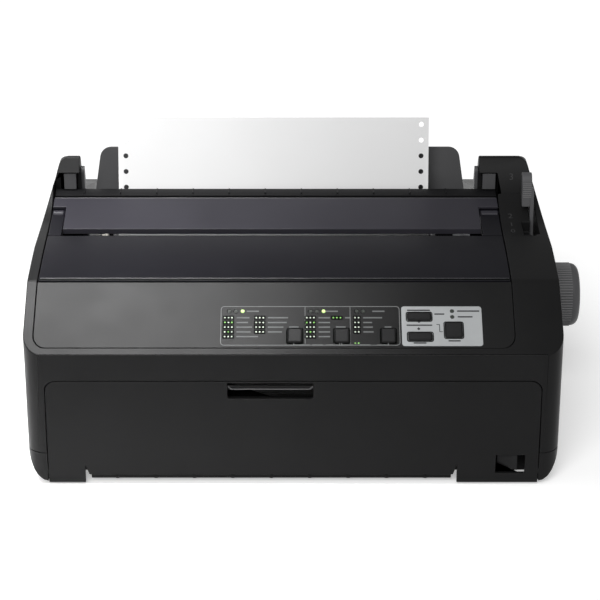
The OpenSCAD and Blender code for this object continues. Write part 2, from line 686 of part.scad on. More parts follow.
// ---- electronics ----
connector_list = [[-90, 56], [-36, 14]];
module circuit_boards() color(board_green) {
    panel_board();
    main_board();
}
board_x = [in_left + 14.4, in_right - 82.4];
module main_board() {
    box([board_x[0], 215, board_z], [board_x[1], body_d - 18, board_z + 1.6]);
    for (c = [[-110, 250, 28, 28, 4], [-50, 260, 34, 16, 4], [0, 300, 20, 40, 18], [-120, 310, 40, 8, 10]])
        translate([c[0], c[1], board_z + 1.6 - eps]) cube([c[2], c[3], c[4]]);
    for (x = [20, 34, 48]) translate([x, 240, board_z + 1.6 - eps]) cylinder(h = 24, r = 6);
}
module power_supply() color(steel_grey) {
    left = in_right - 74.4;
    front = 215;
    box([left, front, floor_z], [left + 70, body_d - 34, 50]);
    for (i = [0:9]) translate([left + 4 + i*6.4, front, 0]) box([0, -1.2, 12], [2, eps, 44]);
}
// Inlet for a loose mains lead: flanged shell with three blades
module power_inlet() color(dark_grey) {
    difference() {
        box([inlet_x - 20, body_d - wall - 1.5, inlet_z - 12], [inlet_x + 20, body_d - wall, inlet_z + 12]);
        box([inlet_x - 12, body_d - 10, inlet_z - 8.2], [inlet_x + 12, body_d + 1, inlet_z + 8.2]);
    }
    difference() {
        box([inlet_x - 13.5, body_d - 20, inlet_z - 9.7], [inlet_x + 13.5, body_d - 0.4, inlet_z + 9.7]);
        box([inlet_x - 12, body_d - 18, inlet_z - 8.2], [inlet_x + 12, body_d + 1, inlet_z + 8.2]);
    }
    for (p = [[-7, -2], [0, 2], [7, -2]])
        translate([inlet_x + p[0] - 1, body_d - 18 - eps, inlet_z + p[1] - 2]) cube([2, 14, 4]);
}
module interface_connectors() color([0.5, 0.5, 0.52]) for (c = connector_list) difference() {
    box([c[0] - c[1]/2, body_d - 34, board_z + 1.6], [c[0] + c[1]/2, body_d - 0.4, parting_z - 1.4]);
    box([c[0] - c[1]/2 + 3, body_d - 10, board_z + 4.2], [c[0] + c[1]/2 - 3, body_d, parting_z - 4]);
}

// ---- drives ----
feed_motor_r = 18;
feed_motor_l = 18;
module feed_motor() color(dark_grey) difference() {
    union() {
        rod_x(-frame_left - feed_motor_l, -frame_left, pinion_at[0], pinion_at[1], feed_motor_r);
        translate([-frame_left - 1.5, pinion_at[0] - 24, pinion_at[1] - 12]) cube([1.5, 48, 24]);
    }
    rod_x(-frame_left - feed_motor_l + 2, -frame_left + 1, pinion_at[0], pinion_at[1], motor_shaft_r + run);
}
module feed_pinion() color(steel_grey) {
    gear(pinion_at, pinion_teeth, pinion_turn, motor_shaft_r - 0.5);
    rod_x(-frame_left - feed_motor_l + 3, gear_x0 + gear_t, pinion_at[0], pinion_at[1], motor_shaft_r);
}
module idler_gear() color("ivory") gear(idler_at, idler_teeth, idler_turn, stud_r + run);
belt_u = 100;
belt_z = 47;
pulley_x = [in_left + 22.4, in_right - 20.4];
motor_top_z = 40;
module carriage_motor() color(dark_grey) difference() {
    translate([pulley_x[0], belt_u, floor_z]) linear_extrude(motor_top_z - floor_z) rounded(42, 42, 5);
    translate([pulley_x[0], belt_u, motor_top_z - 20]) cylinder(h = 21, r = motor_shaft_r + run);
}
module idler_bracket() color(steel_grey) {
    box([pulley_x[1] - 10, belt_u - 10, floor_z], [pulley_x[1] + 10, belt_u + 10, motor_top_z]);
    translate([pulley_x[1], belt_u, motor_top_z - eps]) cylinder(h = 13, r = stud_r);
}
// Both pulleys turn with the carriage
module pulley(x, bore) translate([x, belt_u, 0]) difference() {
    union() {
        translate([0, 0, belt_z - belt_w/2 - 0.3]) cylinder(h = belt_w + 0.6, r = pulley_r - 0.5);
        translate([0, 0, belt_z - belt_w/2 - 1.5]) cylinder(h = 1.2, r = pulley_r + 2);
        translate([0, 0, belt_z + belt_w/2 + 0.3]) cylinder(h = 1.2, r = pulley_r + 2);
    }
    translate([0, 0, belt_z - belt_w]) cylinder(h = 2*belt_w, r = bore);
}
module motor_pulley() color(steel_grey) {
    pulley(pulley_x[0], motor_shaft_r - 0.5);
    translate([pulley_x[0], belt_u, motor_top_z - 18])
        cylinder(h = belt_z + belt_w/2 + 2.5 - motor_top_z + 18, r = motor_shaft_r);
}
module idler_pulley() color(steel_grey) pulley(pulley_x[1], stud_r + run);
module timing_belt() color(dark_grey)
    translate([0, belt_u, belt_z - belt_w/2]) linear_extrude(belt_w) difference() {
        belt_shape(pulley_r + 0.9);
        belt_shape(pulley_r - 0.2);
    }
module belt_shape(r) {
    for (x = pulley_x) translate([x, 0]) circle(r = r);
    translate([pulley_x[0], -r]) square([pulley_x[1] - pulley_x[0], 2*r]);
}
module carriage_rod() color(steel_grey) rod_x(-frame_left - 2, frame_right + 2, rod_u, rod_z, rod_r);
pad_z = rod_z - 8;
module carriage_rail() color(steel_grey) {
    box([in_left, 82, pad_z - 1.9], [in_right, 90, pad_z - 0.3]);
    box([in_left, 82, pad_z - 12], [in_right, 83.6, pad_z - 1.9 + eps]);
}

// ---- carriage and print head ----
head_u = [96, 140];
head_z = [79, 100];
nose_u = 154;
module carriage() color(dark_grey) translate([-carriage_home, 0, 0]) {
    difference() {
        box([-carriage_w/2, 84, pad_z], [carriage_w/2, 140, 74]);
        rod_x(-carriage_w, carriage_w, rod_u, rod_z, rod_r + run);
        box([-carriage_w, 92, pad_z - 1], [carriage_w, 106, 66]);
    }
    box([-carriage_w/2 + 2, 88, 74 - eps], [carriage_w/2 - 2, 140, head_z[0]]);
    // clamp beside the rear run of the belt
    box([-6, belt_u + pulley_r + 1.2, belt_z - 2], [6, belt_u + pulley_r + 3.4, pad_z + 1]);
}
module print_head() color([0.25, 0.25, 0.27]) translate([-carriage_home, 0, 0]) {
    box([-17, head_u[0], head_z[0]], [17, head_u[1], 86]);
    for (i = [0:7]) box([-17, head_u[0] + i*5.7, 86 - eps], [17, head_u[0] + i*5.7 + 3, head_z[1]]);
    along_x(-8, 8) polygon([[head_u[1] - eps, 80], [nose_u, 86], [nose_u, 95], [head_u[1] - eps, 98]]);
    // ribbon mask in front of the nose
    box([-13, nose_u, 78], [13, nose_u + 0.5, 99]);
}
finger_w = 7;
ribbon_knob_at = [in_left + 29.4, (cart_u[0] + cart_u[1])/2, cart_z[1]];
module ribbon_cartridge() color(dark_grey) {
    difference() {
        box([in_left, cart_u[0], cart_z[0]], [in_right, cart_u[1], cart_z[1]]);
        translate(ribbon_knob_at - [0, 0, 10]) cylinder(h = 11, r = stud_r + run);
    }
    // arms beside the carriage's travel
    for (x = [in_left + 9.4, in_right - 20.4])
        box([x, cart_u[1] - eps, cart_z[0]], [x + finger_w, nose_u + 2, cart_z[1]]);
}
module ribbon_knob() color(mid_grey) translate(ribbon_knob_at) {
    translate([0, 0, 0.3]) cylinder(h = 6, r = 9, $fn = 12);
    translate([0, 0, -9]) cylinder(h = 10, r = stud_r);
}
ribbon_z = [84.5, 97];
module ribbon() color([0.03, 0.03, 0.04])
    box([in_left + 16.4, nose_u + 1.5, ribbon_z[0]],
        [in_right - 20.4, nose_u + 1.8, ribbon_z[1]]);

// ---- platen ----
platen_x = [gear_x0 + gear_t + 2, in_right - 3];
module platen_roller() color([0.08, 0.08, 0.09]) difference() {
    rod_x(platen_x[0], platen_x[1], platen_u, platen_z, platen_r);
    rod_x(platen_x[0] - 1, platen_x[1] + 1, platen_u, platen_z, platen_shaft_r);
}
module platen_shaft() color(steel_grey)
    rod_x(-frame_left - 4, knob_reach - 6, platen_u, platen_z, platen_shaft_r);
module platen_gear() color("ivory") gear(platen_at, platen_teeth, 0, platen_shaft_r);
module platen_bushes() color("ivory")
    for (x = [-frame_left - 2.5, frame_right - frame_t - 0.5]) difference() {
        rod_x(x, x + frame_t + 3, platen_u, platen_z, bush_r);
        rod_x(x - 1, x + frame_t + 4, platen_u, platen_z, platen_shaft_r + run);
    }
knob_ribs = 30;
module platen_knob() color(mid_grey) difference() {
    union() {
        translate([knob_reach - knob_l, platen_u, platen_z]) rotate([0, 90, 0]) rotate_extrude($fn = 72)
            polygon(concat([[0, 0], [knob_r - 3, 0]], arc([knob_r - 3.6, 3], 2.6, 3, -90, 0, 4),
                arc([knob_r - 7, knob_l - 6], 6, 6, 0, 90, 6), [[0, knob_l]]));
        for (i = [0:knob_ribs - 1]) translate([knob_reach - knob_l + 2.5, platen_u, platen_z])
            rotate([i*360/knob_ribs, 0, 0]) translate([0, knob_r - 2, -1]) cube([knob_l - 8.5, 2, 2]);
    }
    rod_x(knob_reach - knob_l - 1, knob_reach - 6, platen_u, platen_z, platen_shaft_r);
}

// ---- paper: out over the exit guide, round the platen and back under it ----
paper_x = [-paper_mid - paper_w/2, -paper_mid + paper_w/2];
slot_at = [196.5, 165];
paper_lean = 12;
paper_wrap = platen_r + 0.3;
paper_run = [slot_at, slot_at + (paper_top_z - slot_at[1])*[tan(paper_lean), 1]];
function thick(p, q, t) = let (d = (q - p)/norm(q - p), n = [-d[1], d[0]]*t) [p, q, q + n, p + n];
lift_dir = 152;
paper_from = toward(platen_at, paper_wrap, lift_dir);
module sheet_part(p, q) along_x(paper_x[0], paper_x[1]) polygon(thick(p, q, paper_t));
module paper() color("white") difference() {
    union() {
        sheet_part(paper_run[0], paper_run[1]);
        sheet_part(paper_from, slot_at + [0.02, 0.05]);
        along_x(paper_x[0], paper_x[1]) polygon(concat(
            arc(platen_at, paper_wrap, paper_wrap, lift_dir, 275, 12),
            arc(platen_at, paper_wrap + paper_t, paper_wrap + paper_t, 275, lift_dir - 1, 12)));
        box([paper_x[0], platen_u, platen_z - paper_wrap - paper_t],
            [paper_x[1], platen_u + 44, platen_z - paper_wrap]);
    }
    for (i = [0:5], x = [paper_x[0] + hole_in, paper_x[1] - hole_in])
        translate([x, slot_at[0], slot_at[1]]) rotate([-paper_lean, 0, 0])
            translate([0, 5, (paper_top_z - slot_at[1])/cos(paper_lean) - 5.6 - i*hole_pitch])
                rotate([90, 0, 0]) cylinder(h = 10, r = hole_r, $fn = 16);
}

// ---- tractors ----
pin_count = 8;
wheel_r = hole_pitch*pin_count/(2*PI) - 1;
pin_r = 1.4;
pin_tip = 1.2;
tractor_left_x = paper_x[0] + hole_in;
tractor_right_x = paper_x[1] - hole_in;
flap_z = wheel_r + pin_h - 0.6;
flap_hinge = [-tractor_out - 0.5, flap_z + 1.2];
cheek = [[-22, -21], [33, -21], [33, 3], [22, 14], [-22, 14]];
module tractor_shaft() color(steel_grey) {
    translate([0, tractor_at[0], tractor_at[1]]) box([gear_x0, -square_w/2, -square_w/2],
        [in_right - 0.4, square_w/2, square_w/2]);
    rod_x(-frame_left - 1.5, frame_right + 1.5, tractor_at[0], tractor_at[1], square_w/2);
}
module tractor_gear() color("ivory") difference() {
    gear(tractor_at, tractor_teeth, tractor_turn, 1);
    translate([gear_x0 - 1, tractor_at[0] - square_w/2, tractor_at[1] - square_w/2])
        cube([gear_t + 2, square_w, square_w]);
}
module tractor_rail() color(steel_grey)
    rod_x(-frame_left - 1.5, frame_right + 1.5, rail_at[0], rail_at[1], rail_r);
// Tractors are drawn about their shaft, with the outside towards -X
module at_tractor(side)
    translate([side < 0 ? tractor_left_x : tractor_right_x, tractor_at[0], tractor_at[1]])
        mirror([side < 0 ? 0 : 1, 0, 0]) children();
module tractor_body(side) color(mid_grey) at_tractor(side) difference() {
    union() {
        along_x(-tractor_out, -3.6) polygon(cheek);
        along_x(3.6, tractor_in) polygon(cheek);
        box([-tractor_out, -22, -21.2], [tractor_in, 33, -19]);
        for (u = [-16, 9.4]) translate([flap_hinge[0], u, flap_hinge[1]]) {
            rotate([-90, 0, 0]) cylinder(h = 6.6, r = 2.2);
            translate([-1.8, 0, -8]) cube([4.4, 6.6, 8]);
        }
        translate([flap_hinge[0], -12, flap_hinge[1]]) rotate([-90, 0, 0]) cylinder(h = 24, r = 1.1);
    }
    rod_x(-40, 40, 0, 0, square_w*0.72);
    rod_x(-40, 40, rail_at[0] - tractor_at[0], rail_at[1] - tractor_at[1], rail_r + run);
}
module flap(side) color(mid_grey) at_tractor(side) difference() {
    union() {
        box([flap_hinge[0], -9, flap_z], [tractor_in, 9, flap_z + 2]);
        box([-tractor_out + 3, -20, flap_z], [tractor_in, 20, flap_z + 2]);
        translate([flap_hinge[0], -9, flap_hinge[1]]) rotate([-90, 0, 0]) cylinder(h = 18, r = 2.2);
    }
    translate([flap_hinge[0], -10, flap_hinge[1]]) rotate([-90, 0, 0]) cylinder(h = 20, r = 1.1 + run);
    box([-2.4, -14, flap_z - 1], [2.4, 14, flap_z + 3]);
}
module lock_lever(side) color([0.75, 0.76, 0.7]) at_tractor(side)
    translate([0, rail_at[0] - tractor_at[0], rail_at[1] - tractor_at[1]]) difference() {
        union() {
            rod_x(-tractor_out - 4.6, -tractor_out - 0.4, 0, 0, rail_r + 3);
            box([-tractor_out - 4.6, 2, 0], [-tractor_out - 1.6, 7, 24]);
            box([-tractor_out - 8, 2, 20], [-tractor_out - 1.6, 7, 24]);
        }
        rod_x(-tractor_out - 6, -tractor_out + 1, 0, 0, rail_r + run);
    }
module sprocket(side) color("ivory") at_tractor(side) difference() {
    union() {
        rod_x(-3, 3, 0, 0, wheel_r);
        for (i = [0:pin_count - 1]) rotate([i*360/pin_count, 0, 0]) {
            cylinder(h = wheel_r + pin_h - pin_tip, r = pin_r, $fn = 16);
            translate([0, 0, wheel_r + pin_h - pin_tip - eps])
                cylinder(h = pin_tip, r1 = pin_r, r2 = pin_r/2, $fn = 16);
        }
    }
    translate([-4, -square_w/2 - 0.1, -square_w/2 - 0.1]) cube([8, square_w + 0.2, square_w + 0.2]);
}
module tractor_left() tractor_body(-1);
module tractor_right() tractor_body(1);
module flap_left() flap(-1);
module flap_right() flap(1);
module lock_lever_left() lock_lever(-1);
module lock_lever_right() lock_lever(1);
module sprocket_left() sprocket(-1);
module sprocket_right() sprocket(1);

// ---- sheet guide ----
guide_mid = (in_right + in_left)/2;
guide_half = (in_right - in_left)/2 - guide_gap;
module sheet_guide() color(casing_grey) translate([guide_mid, guide_pivot[0], guide_pivot[1]]) {
    rotate([-guide_lean, 0, 0]) along_y(-guide_t/2, guide_t/2) polygon(concat(
        [[-guide_half, -3], [guide_half, -3]],
        arc([guide_half - guide_taper - 9, guide_l - 9], 9, 9, 6, 90, 6),
        arc([-guide_half + guide_taper + 9, guide_l - 9], 9, 9, 90, 174, 6)));
    for (s = [-1, 1]) {
        rod_to(s*(guide_half - 6), s*guide_half, 0, 0, 3.6);
        rod_to(s*(guide_half - 3), s*(guide_half + 2.2), 0, 0, guide_pin_r);
    }
}

// ---- covers ----
lid_left = -open_left + seam;
lid_right = open_right - seam;
boss_left = 10;
boss_right = 15;
lid_low = [for (p = lid_line) p - [0, lid_t]];
function reversed(list) = [for (i = [len(list) - 1:-1:0]) list[i]];
arm_line = [[lid_back_u - 4, lid_back_z - lid_t - 5], [lid_back_u - 4, lid_back_z - 1],
    [lid_back_u + 2, lid_back_z], [strip_front_u + 6, 156], [lid_hinge_u, lid_hinge_z + lid_boss_r],
    [lid_hinge_u, lid_hinge_z - lid_boss_r], [strip_front_u, 148.5]];
module printer_cover() color(smoke_grey) {
    along_x(lid_left, lid_right) polygon(concat(
        [[kink_u + 0.5, kink_z - lid_t - 3], [kink_u + 0.5, kink_z]],
        [for (i = [1:8]) lid_line[i]], [for (i = [8:-1:1]) lid_low[i]],
        [[kink_u + 3, kink_z - lid_t - 1], [kink_u + 3, kink_z - lid_t - 3]]));
    // skirts along both sides
    for (x = [lid_left, lid_right - 2]) along_x(x, x + 2) polygon(concat(
        [for (p = lid_line) p - [0, lid_t - 0.5]], reversed([for (p = lid_line) p - [0, lid_t + 6]])));
    for (span = [[lid_left, lid_left + boss_left], [lid_right - boss_right, lid_right]])
        along_x(span[0], span[1]) {
            polygon(arm_line);
            translate([lid_hinge_u, lid_hinge_z]) circle(r = lid_boss_r);
        }
    rod_x(lid_left - seam - 1.6, lid_left + boss_left + 5, lid_hinge_u, lid_hinge_z, lid_pin_r);
    rod_x(lid_right - boss_right - 5, lid_right + seam + 1.6, lid_hinge_u, lid_hinge_z, lid_pin_r);
}
strip_left = lid_left + boss_left + 0.5;
strip_right = lid_right - boss_right - 0.5;
strip_step_u = lid_hinge_u - 2.5;
strip_step_t = 2;
strip_line = [[strip_front_u, strip_front_z], [strip_back_u, strip_back_z]];
module separator() color(smoke_grey) difference() {
    union() {
        along_x(strip_left, strip_right) polygon([strip_line[0] - [0, 4.5], strip_line[0], strip_line[1],
            strip_line[1] - [0, 3.4], [lid_hinge_u, strip_back_z - 5.4], strip_line[0] + [3, -2.4]]);
        along_x(lid_left, lid_right) intersection() {
            polygon([strip_line[0] - [0, strip_step_t], strip_line[0], strip_line[1],
                strip_line[1] - [0, strip_step_t]]);
            translate([strip_step_u, 0]) square([20, 200]);
        }
        for (x = [strip_left, strip_right - 8]) along_x(x, x + 8) {
            translate([lid_hinge_u, lid_hinge_z]) circle(r = lid_boss_r - 0.2);
            translate([lid_hinge_u - 3, lid_hinge_z]) square([6, 5]);
        }
    }
    for (x = [strip_left - 1, strip_right - 8]) rod_x(x, x + 9, lid_hinge_u, lid_hinge_z, lid_pin_r + run);
}
notch_r = 2.4;
module notch_outline() polygon(concat([[notch_x, notch_top_z], [notch_x + notch_w, notch_top_z]],
    arc([notch_x + notch_w - notch_r, notch_top_z - notch_h + notch_r], notch_r, notch_r, 0, -90, 5),
    arc([notch_x + notch_r, notch_top_z - notch_h + notch_r], notch_r, notch_r, -90, -180, 5)));
module front_face_outline() difference() {
    arc_x = front_half - front_corner_r;
    arc_z = front_cover_top_z - front_corner_r;
    polygon(concat([[front_mid[0], front_mid_z], [front_mid[1], front_mid_z]],
        [[leg_right[0], front_mid_z + 8], [leg_right[0], front_low_z], [leg_right[1], front_low_z]],
        arc([arc_x, arc_z], front_corner_r, front_corner_r, 0, 90, 6),
        arc([-arc_x, arc_z], front_corner_r, front_corner_r, 90, 180, 6),
        [[leg_left[0], front_low_z], [leg_left[1], front_low_z], [leg_left[1], front_mid_z + 8]]));
    notch_outline();
    translate([window_x[0], window_z[0]]) square([window_x[1] - window_x[0], window_z[1] - window_z[0]]);
}
module front_opening() {
    gap_r = front_corner_r + front_gap;
    arc_x = front_half - front_corner_r;
    arc_z = front_cover_top_z - front_corner_r;
    polygon(concat(arc([arc_x, arc_z], gap_r, gap_r, 0, 90, 6),
        arc([-arc_x, arc_z], gap_r, gap_r, 90, 180, 6),
        [[-front_half - front_gap, parting_z - 1], [front_half + front_gap, parting_z - 1]]));
}
module front_cover() color(casing_grey) {
    along_y(0, front_t) front_face_outline();
    // finger lip inside the notch, and the rim below and beside it
    lip_back = front_t + 2;
    low_z = notch_top_z - notch_h;
    for (z = [[low_z - 3, low_z], [notch_top_z - notch_h/2, notch_top_z - 3]])
        box([notch_x - 3, front_t - eps, z[0]], [notch_x + notch_w + 3, lip_back, z[1]]);
    for (x = [notch_x - 3, notch_x + notch_w])
        box([x, front_t - eps, low_z - 3], [x + 3, lip_back, notch_top_z - 3]);
    // hinge barrels and pins
    for (s = [-1, 1]) {
        rod_to(s*(front_half - 8), s*front_half, front_hinge_u, front_hinge_z, 3.5);
        rod_to(s*(front_half - 4), s*(front_half + 4), front_hinge_u, front_hinge_z, front_pin_r);
    }
}

// ---- power switch ----
rocker_x = [front_half - 30.6, front_half - 15.4];
rocker_z = [11, 23.4];
rocker_axis_u = 10;
rocker_pin_r = 1.5;
rocker_pin_l = 1.5;
rocker_mid = (rocker_x[0] + rocker_x[1])/2;
module power_rocker() color(mid_grey) translate([rocker_mid, rocker_axis_u, rocker_z[0]]) {
    linear_extrude(rocker_z[1] - rocker_z[0]) polygon(concat(
        [[-7.4, -5], [0, -6.2], [7.4, -8.6], [7.4, 0], [3, 4]], [[-3, 4], [-7.4, 1]]));
    translate([0, 0, -rocker_pin_l])
        cylinder(h = rocker_z[1] - rocker_z[0] + 2*rocker_pin_l, r = rocker_pin_r);
}

// ---- paper thickness lever, on an axle through the right side frame ----
lever_rest = 10;
module thickness_lever() color(mid_grey) {
    rod_x(frame_right - frame_t - 4, lever_slot_x[0] + 3.5, lever_axle[0], lever_axle[1], lever_axle_r);
    rod_x(frame_right + 0.3, frame_right + 3, lever_axle[0], lever_axle[1], 8);
    // arm through the slot, and the handle above the casing
    along_x(lever_slot_x[0] + 0.5, lever_slot_x[0] + 3.5) translate(lever_axle) rotate(-lever_rest)
        polygon([[-5, -6], [-3.5, lever_len - 12], [4.5, lever_len - 12], [6, -6]]);
    along_x(lever_x - lever_w/2, lever_x + lever_w/2) translate(lever_axle) rotate(-lever_rest)
        polygon(concat([[5.5, lever_len - 18], [-3.5, lever_len - 27], [-3.5, lever_len - 12]],
            curve([-3.5, lever_len - 12], [-3, lever_len], [3, lever_len], 5), [[5.5, lever_len - 2]]));
}

placed() lower_case();
placed() top_case();
placed() rubber_feet();
placed() case_screws();
placed() side_frames();
placed() shield_plate();
placed() front_paper_guide();
placed() exit_guide();
placed() guide_brackets();
placed() control_panel();
placed() panel_overlay();
placed() indicator_lights();
placed() circuit_boards();
placed() power_supply();
placed() power_inlet();
placed() interface_connectors();
placed() feed_motor();
placed() carriage_motor();
placed() carriage_rod();
placed() carriage_rail();
placed() timing_belt();
placed() idler_bracket();
placed() platen_bushes();
placed() ribbon_cartridge();
placed() ribbon_knob();
placed() ribbon();
placed() tractor_rail();
placed() paper();
placed() printer_cover();
placed() separator();
placed() front_cover();
placed() select_button_left();
placed() select_button_right();
placed() set_button();
placed() load_button();
placed() feed_button();
placed() pause_button();
placed() power_rocker();
placed() thickness_lever();
placed() platen_roller();
placed() platen_shaft();
placed() platen_knob();
placed() platen_gear();
placed() feed_pinion();
placed() idler_gear();
placed() tractor_shaft();
placed() tractor_gear();
placed() tractor_left();
placed() tractor_right();
placed() flap_left();
placed() flap_right();
placed() lock_lever_left();
placed() lock_lever_right();
placed() sprocket_left();
placed() sprocket_right();
placed() carriage();
placed() print_head();
placed() motor_pulley();
placed() idler_pulley();
placed() sheet_guide();
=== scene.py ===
import json
import math
import bmesh
import bpy
from bpy.props import FloatProperty, FloatVectorProperty, IntProperty, PointerProperty
from mathutils import Euler, Matrix, Vector
from mathutils.bvhtree import BVHTree

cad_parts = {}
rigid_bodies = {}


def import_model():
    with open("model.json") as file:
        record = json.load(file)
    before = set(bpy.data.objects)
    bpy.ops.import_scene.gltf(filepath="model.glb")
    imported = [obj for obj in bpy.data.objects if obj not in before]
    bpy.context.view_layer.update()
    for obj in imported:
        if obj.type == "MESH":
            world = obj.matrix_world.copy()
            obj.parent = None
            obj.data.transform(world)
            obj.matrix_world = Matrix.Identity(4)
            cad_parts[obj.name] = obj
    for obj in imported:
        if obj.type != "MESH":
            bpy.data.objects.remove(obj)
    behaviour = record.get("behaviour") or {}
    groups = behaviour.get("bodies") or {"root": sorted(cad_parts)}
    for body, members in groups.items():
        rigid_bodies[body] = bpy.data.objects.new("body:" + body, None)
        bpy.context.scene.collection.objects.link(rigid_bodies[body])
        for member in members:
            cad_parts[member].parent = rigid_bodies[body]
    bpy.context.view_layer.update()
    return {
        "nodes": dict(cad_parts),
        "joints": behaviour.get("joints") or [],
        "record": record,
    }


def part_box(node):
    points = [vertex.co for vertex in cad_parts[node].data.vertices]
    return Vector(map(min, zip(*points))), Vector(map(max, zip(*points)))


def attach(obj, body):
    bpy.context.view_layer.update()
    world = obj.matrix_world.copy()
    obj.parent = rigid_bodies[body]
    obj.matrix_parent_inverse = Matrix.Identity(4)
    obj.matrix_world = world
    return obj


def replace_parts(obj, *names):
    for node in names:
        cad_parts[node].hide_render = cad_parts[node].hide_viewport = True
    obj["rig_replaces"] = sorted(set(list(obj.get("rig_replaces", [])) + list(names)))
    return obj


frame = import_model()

bl_info = {
    "name": "Dot matrix printer",
    "version": (1, 0, 0),
    "blender": (4, 5, 0),
    "location": "View3D > Sidebar > Printer",
    "description": "Finishes a narrow-carriage dot matrix printer built round its CAD model",
    "category": "Object",
}

MM = 0.001

# The CAD model is drawn about the middle of the casing and its front face, and its
# frame lies in the middle of casing and knob. These two lead from one to the other.
SIDE_SHIFT = 16.0
FRONT_SHIFT = 192.0

# Control panel: height of its lower edge, its slope, and the kink at its upper edge
PANEL_LOW_Z = 105.3
PANEL_SLOPE = math.radians(35.8)
KINK_U = 52.9


def at(s, u, z):
    """Point of the frame, in metres, from millimetres across, back and up."""
    return Vector((s - SIDE_SHIFT, u - FRONT_SHIFT, z)) * MM


def panel_matrix(s=0.0, along=0.0, height=0.0):
    """Place on the control panel: across, along its slope and above its face."""
    turn = Matrix.Rotation(PANEL_SLOPE, 4, "X")
    start = Matrix.Translation(at(0, 0, PANEL_LOW_Z))
    return start @ turn @ Matrix.Translation(Vector((s, along, height)) * MM)


def pivot(joint):
    """Matrix that leads to a hinge's place, as the frame gives it."""
    place = next(j["pos_m"] for j in frame["joints"] if j["name"] == joint)
    return Matrix.Translation(place)


def surface(node, s, u):
    """Point and normal where a CAD node is met from straight above."""
    mesh = frame["nodes"][node].data
    tree = BVHTree.FromPolygons([v.co for v in mesh.vertices], [p.vertices for p in mesh.polygons])
    point, normal, _, _ = tree.ray_cast(at(s, u, 400), Vector((0, 0, -1)))
    if point is None:
        raise ValueError("nothing of %s lies under %g, %g" % (node, s, u))
    return point, normal if normal.z > 0 else -normal


# ---------------------------------------------------------------- settings


def colour(name, description, default):
    """Property that holds a colour."""
    return FloatVectorProperty(
        name=name, description=description, subtype="COLOR", size=3, min=0, max=1, default=default)


def length(name, description, default_mm):
    """Property that holds a length, its default given in millimetres."""
    return FloatProperty(
        name=name, description=description, default=default_mm * MM, min=0, unit="LENGTH", precision=5)


class FinishSettings(bpy.types.PropertyGroup):
    casing: colour("Casing", "Colour of the charcoal casing", (0.008, 0.008, 0.0082))
    panel: colour("Panel", "Colour of the control panel", (0.009, 0.009, 0.0092))
    smoke: colour("Smoked cover", "Colour of the smoked printer cover", (0.0052, 0.005, 0.0072))
    separator: colour("Separator", "Colour of the smoked separator", (0.026, 0.025, 0.031))
    dark: colour("Dark plastic", "Colour of the black mouldings", (0.006, 0.006, 0.0065))
    grey: colour("Grey plastic", "Colour of knob, lever and brackets", (0.075, 0.075, 0.078))
    key: colour("Keys", "Colour of the keys", (0.014, 0.014, 0.0145))
    ink: colour("Printing", "Colour of the lines printed on the panel", (0.17, 0.175, 0.175))
    label: colour("Label marks", "Colour of the marks beside the dots", (0.12, 0.125, 0.125))
    silver: colour("Silver plate", "Colour of the plate round the paper keys", (0.3, 0.31, 0.315))
    lamp: colour("Lamp", "Colour of a lit indicator lamp", (0.5, 0.72, 0.26))
    paper: colour("Paper", "Colour of the continuous paper", (0.75, 0.75, 0.75))


class EdgeSettings(bpy.types.PropertyGroup):
    casing: length("Casing edges", "Rounding of the casing's edges", 0.7)
    cover: length("Cover edges", "Rounding of the covers' edges", 0.45)
    small: length("Small edges", "Rounding of the edges of small pieces", 0.25)


class ControlSettings(bpy.types.PropertyGroup):
    line_width: length("Line width", "Width of the printed lines", 0.45)
    dot_radius: length("Dot radius", "Radius of the dots in the tables", 0.62)
    lamp_radius: length("Lamp radius", "Radius of the indicator lamps", 1.35)
    knob_ribs: IntProperty(name="Knob ribs", description="Ribs round the platen knob", default=72, min=12)
    lever_ridges: IntProperty(
        name="Lever ridges", description="Ridges across the lever's grip", default=8, min=1)


class StageSettings(bpy.types.PropertyGroup):
    floor: colour("Floor", "Colour of the floor", (0.8, 0.8, 0.8))
    glow: FloatProperty(name="Floor glow", description="White added to the floor as it is seen", default=0.4)
    world: FloatProperty(name="World", description="Strength of the even light all round", default=0.35)
    sun: FloatProperty(name="Sun", description="Strength of the soft sun in front", default=1.95)
    upper: FloatProperty(name="Upper light", description="Power of the box above the left end", default=2.0)
    rear: FloatProperty(name="Rear light", description="Power of the box behind on the left", default=2.3)


# ---------------------------------------------------------------- shader building


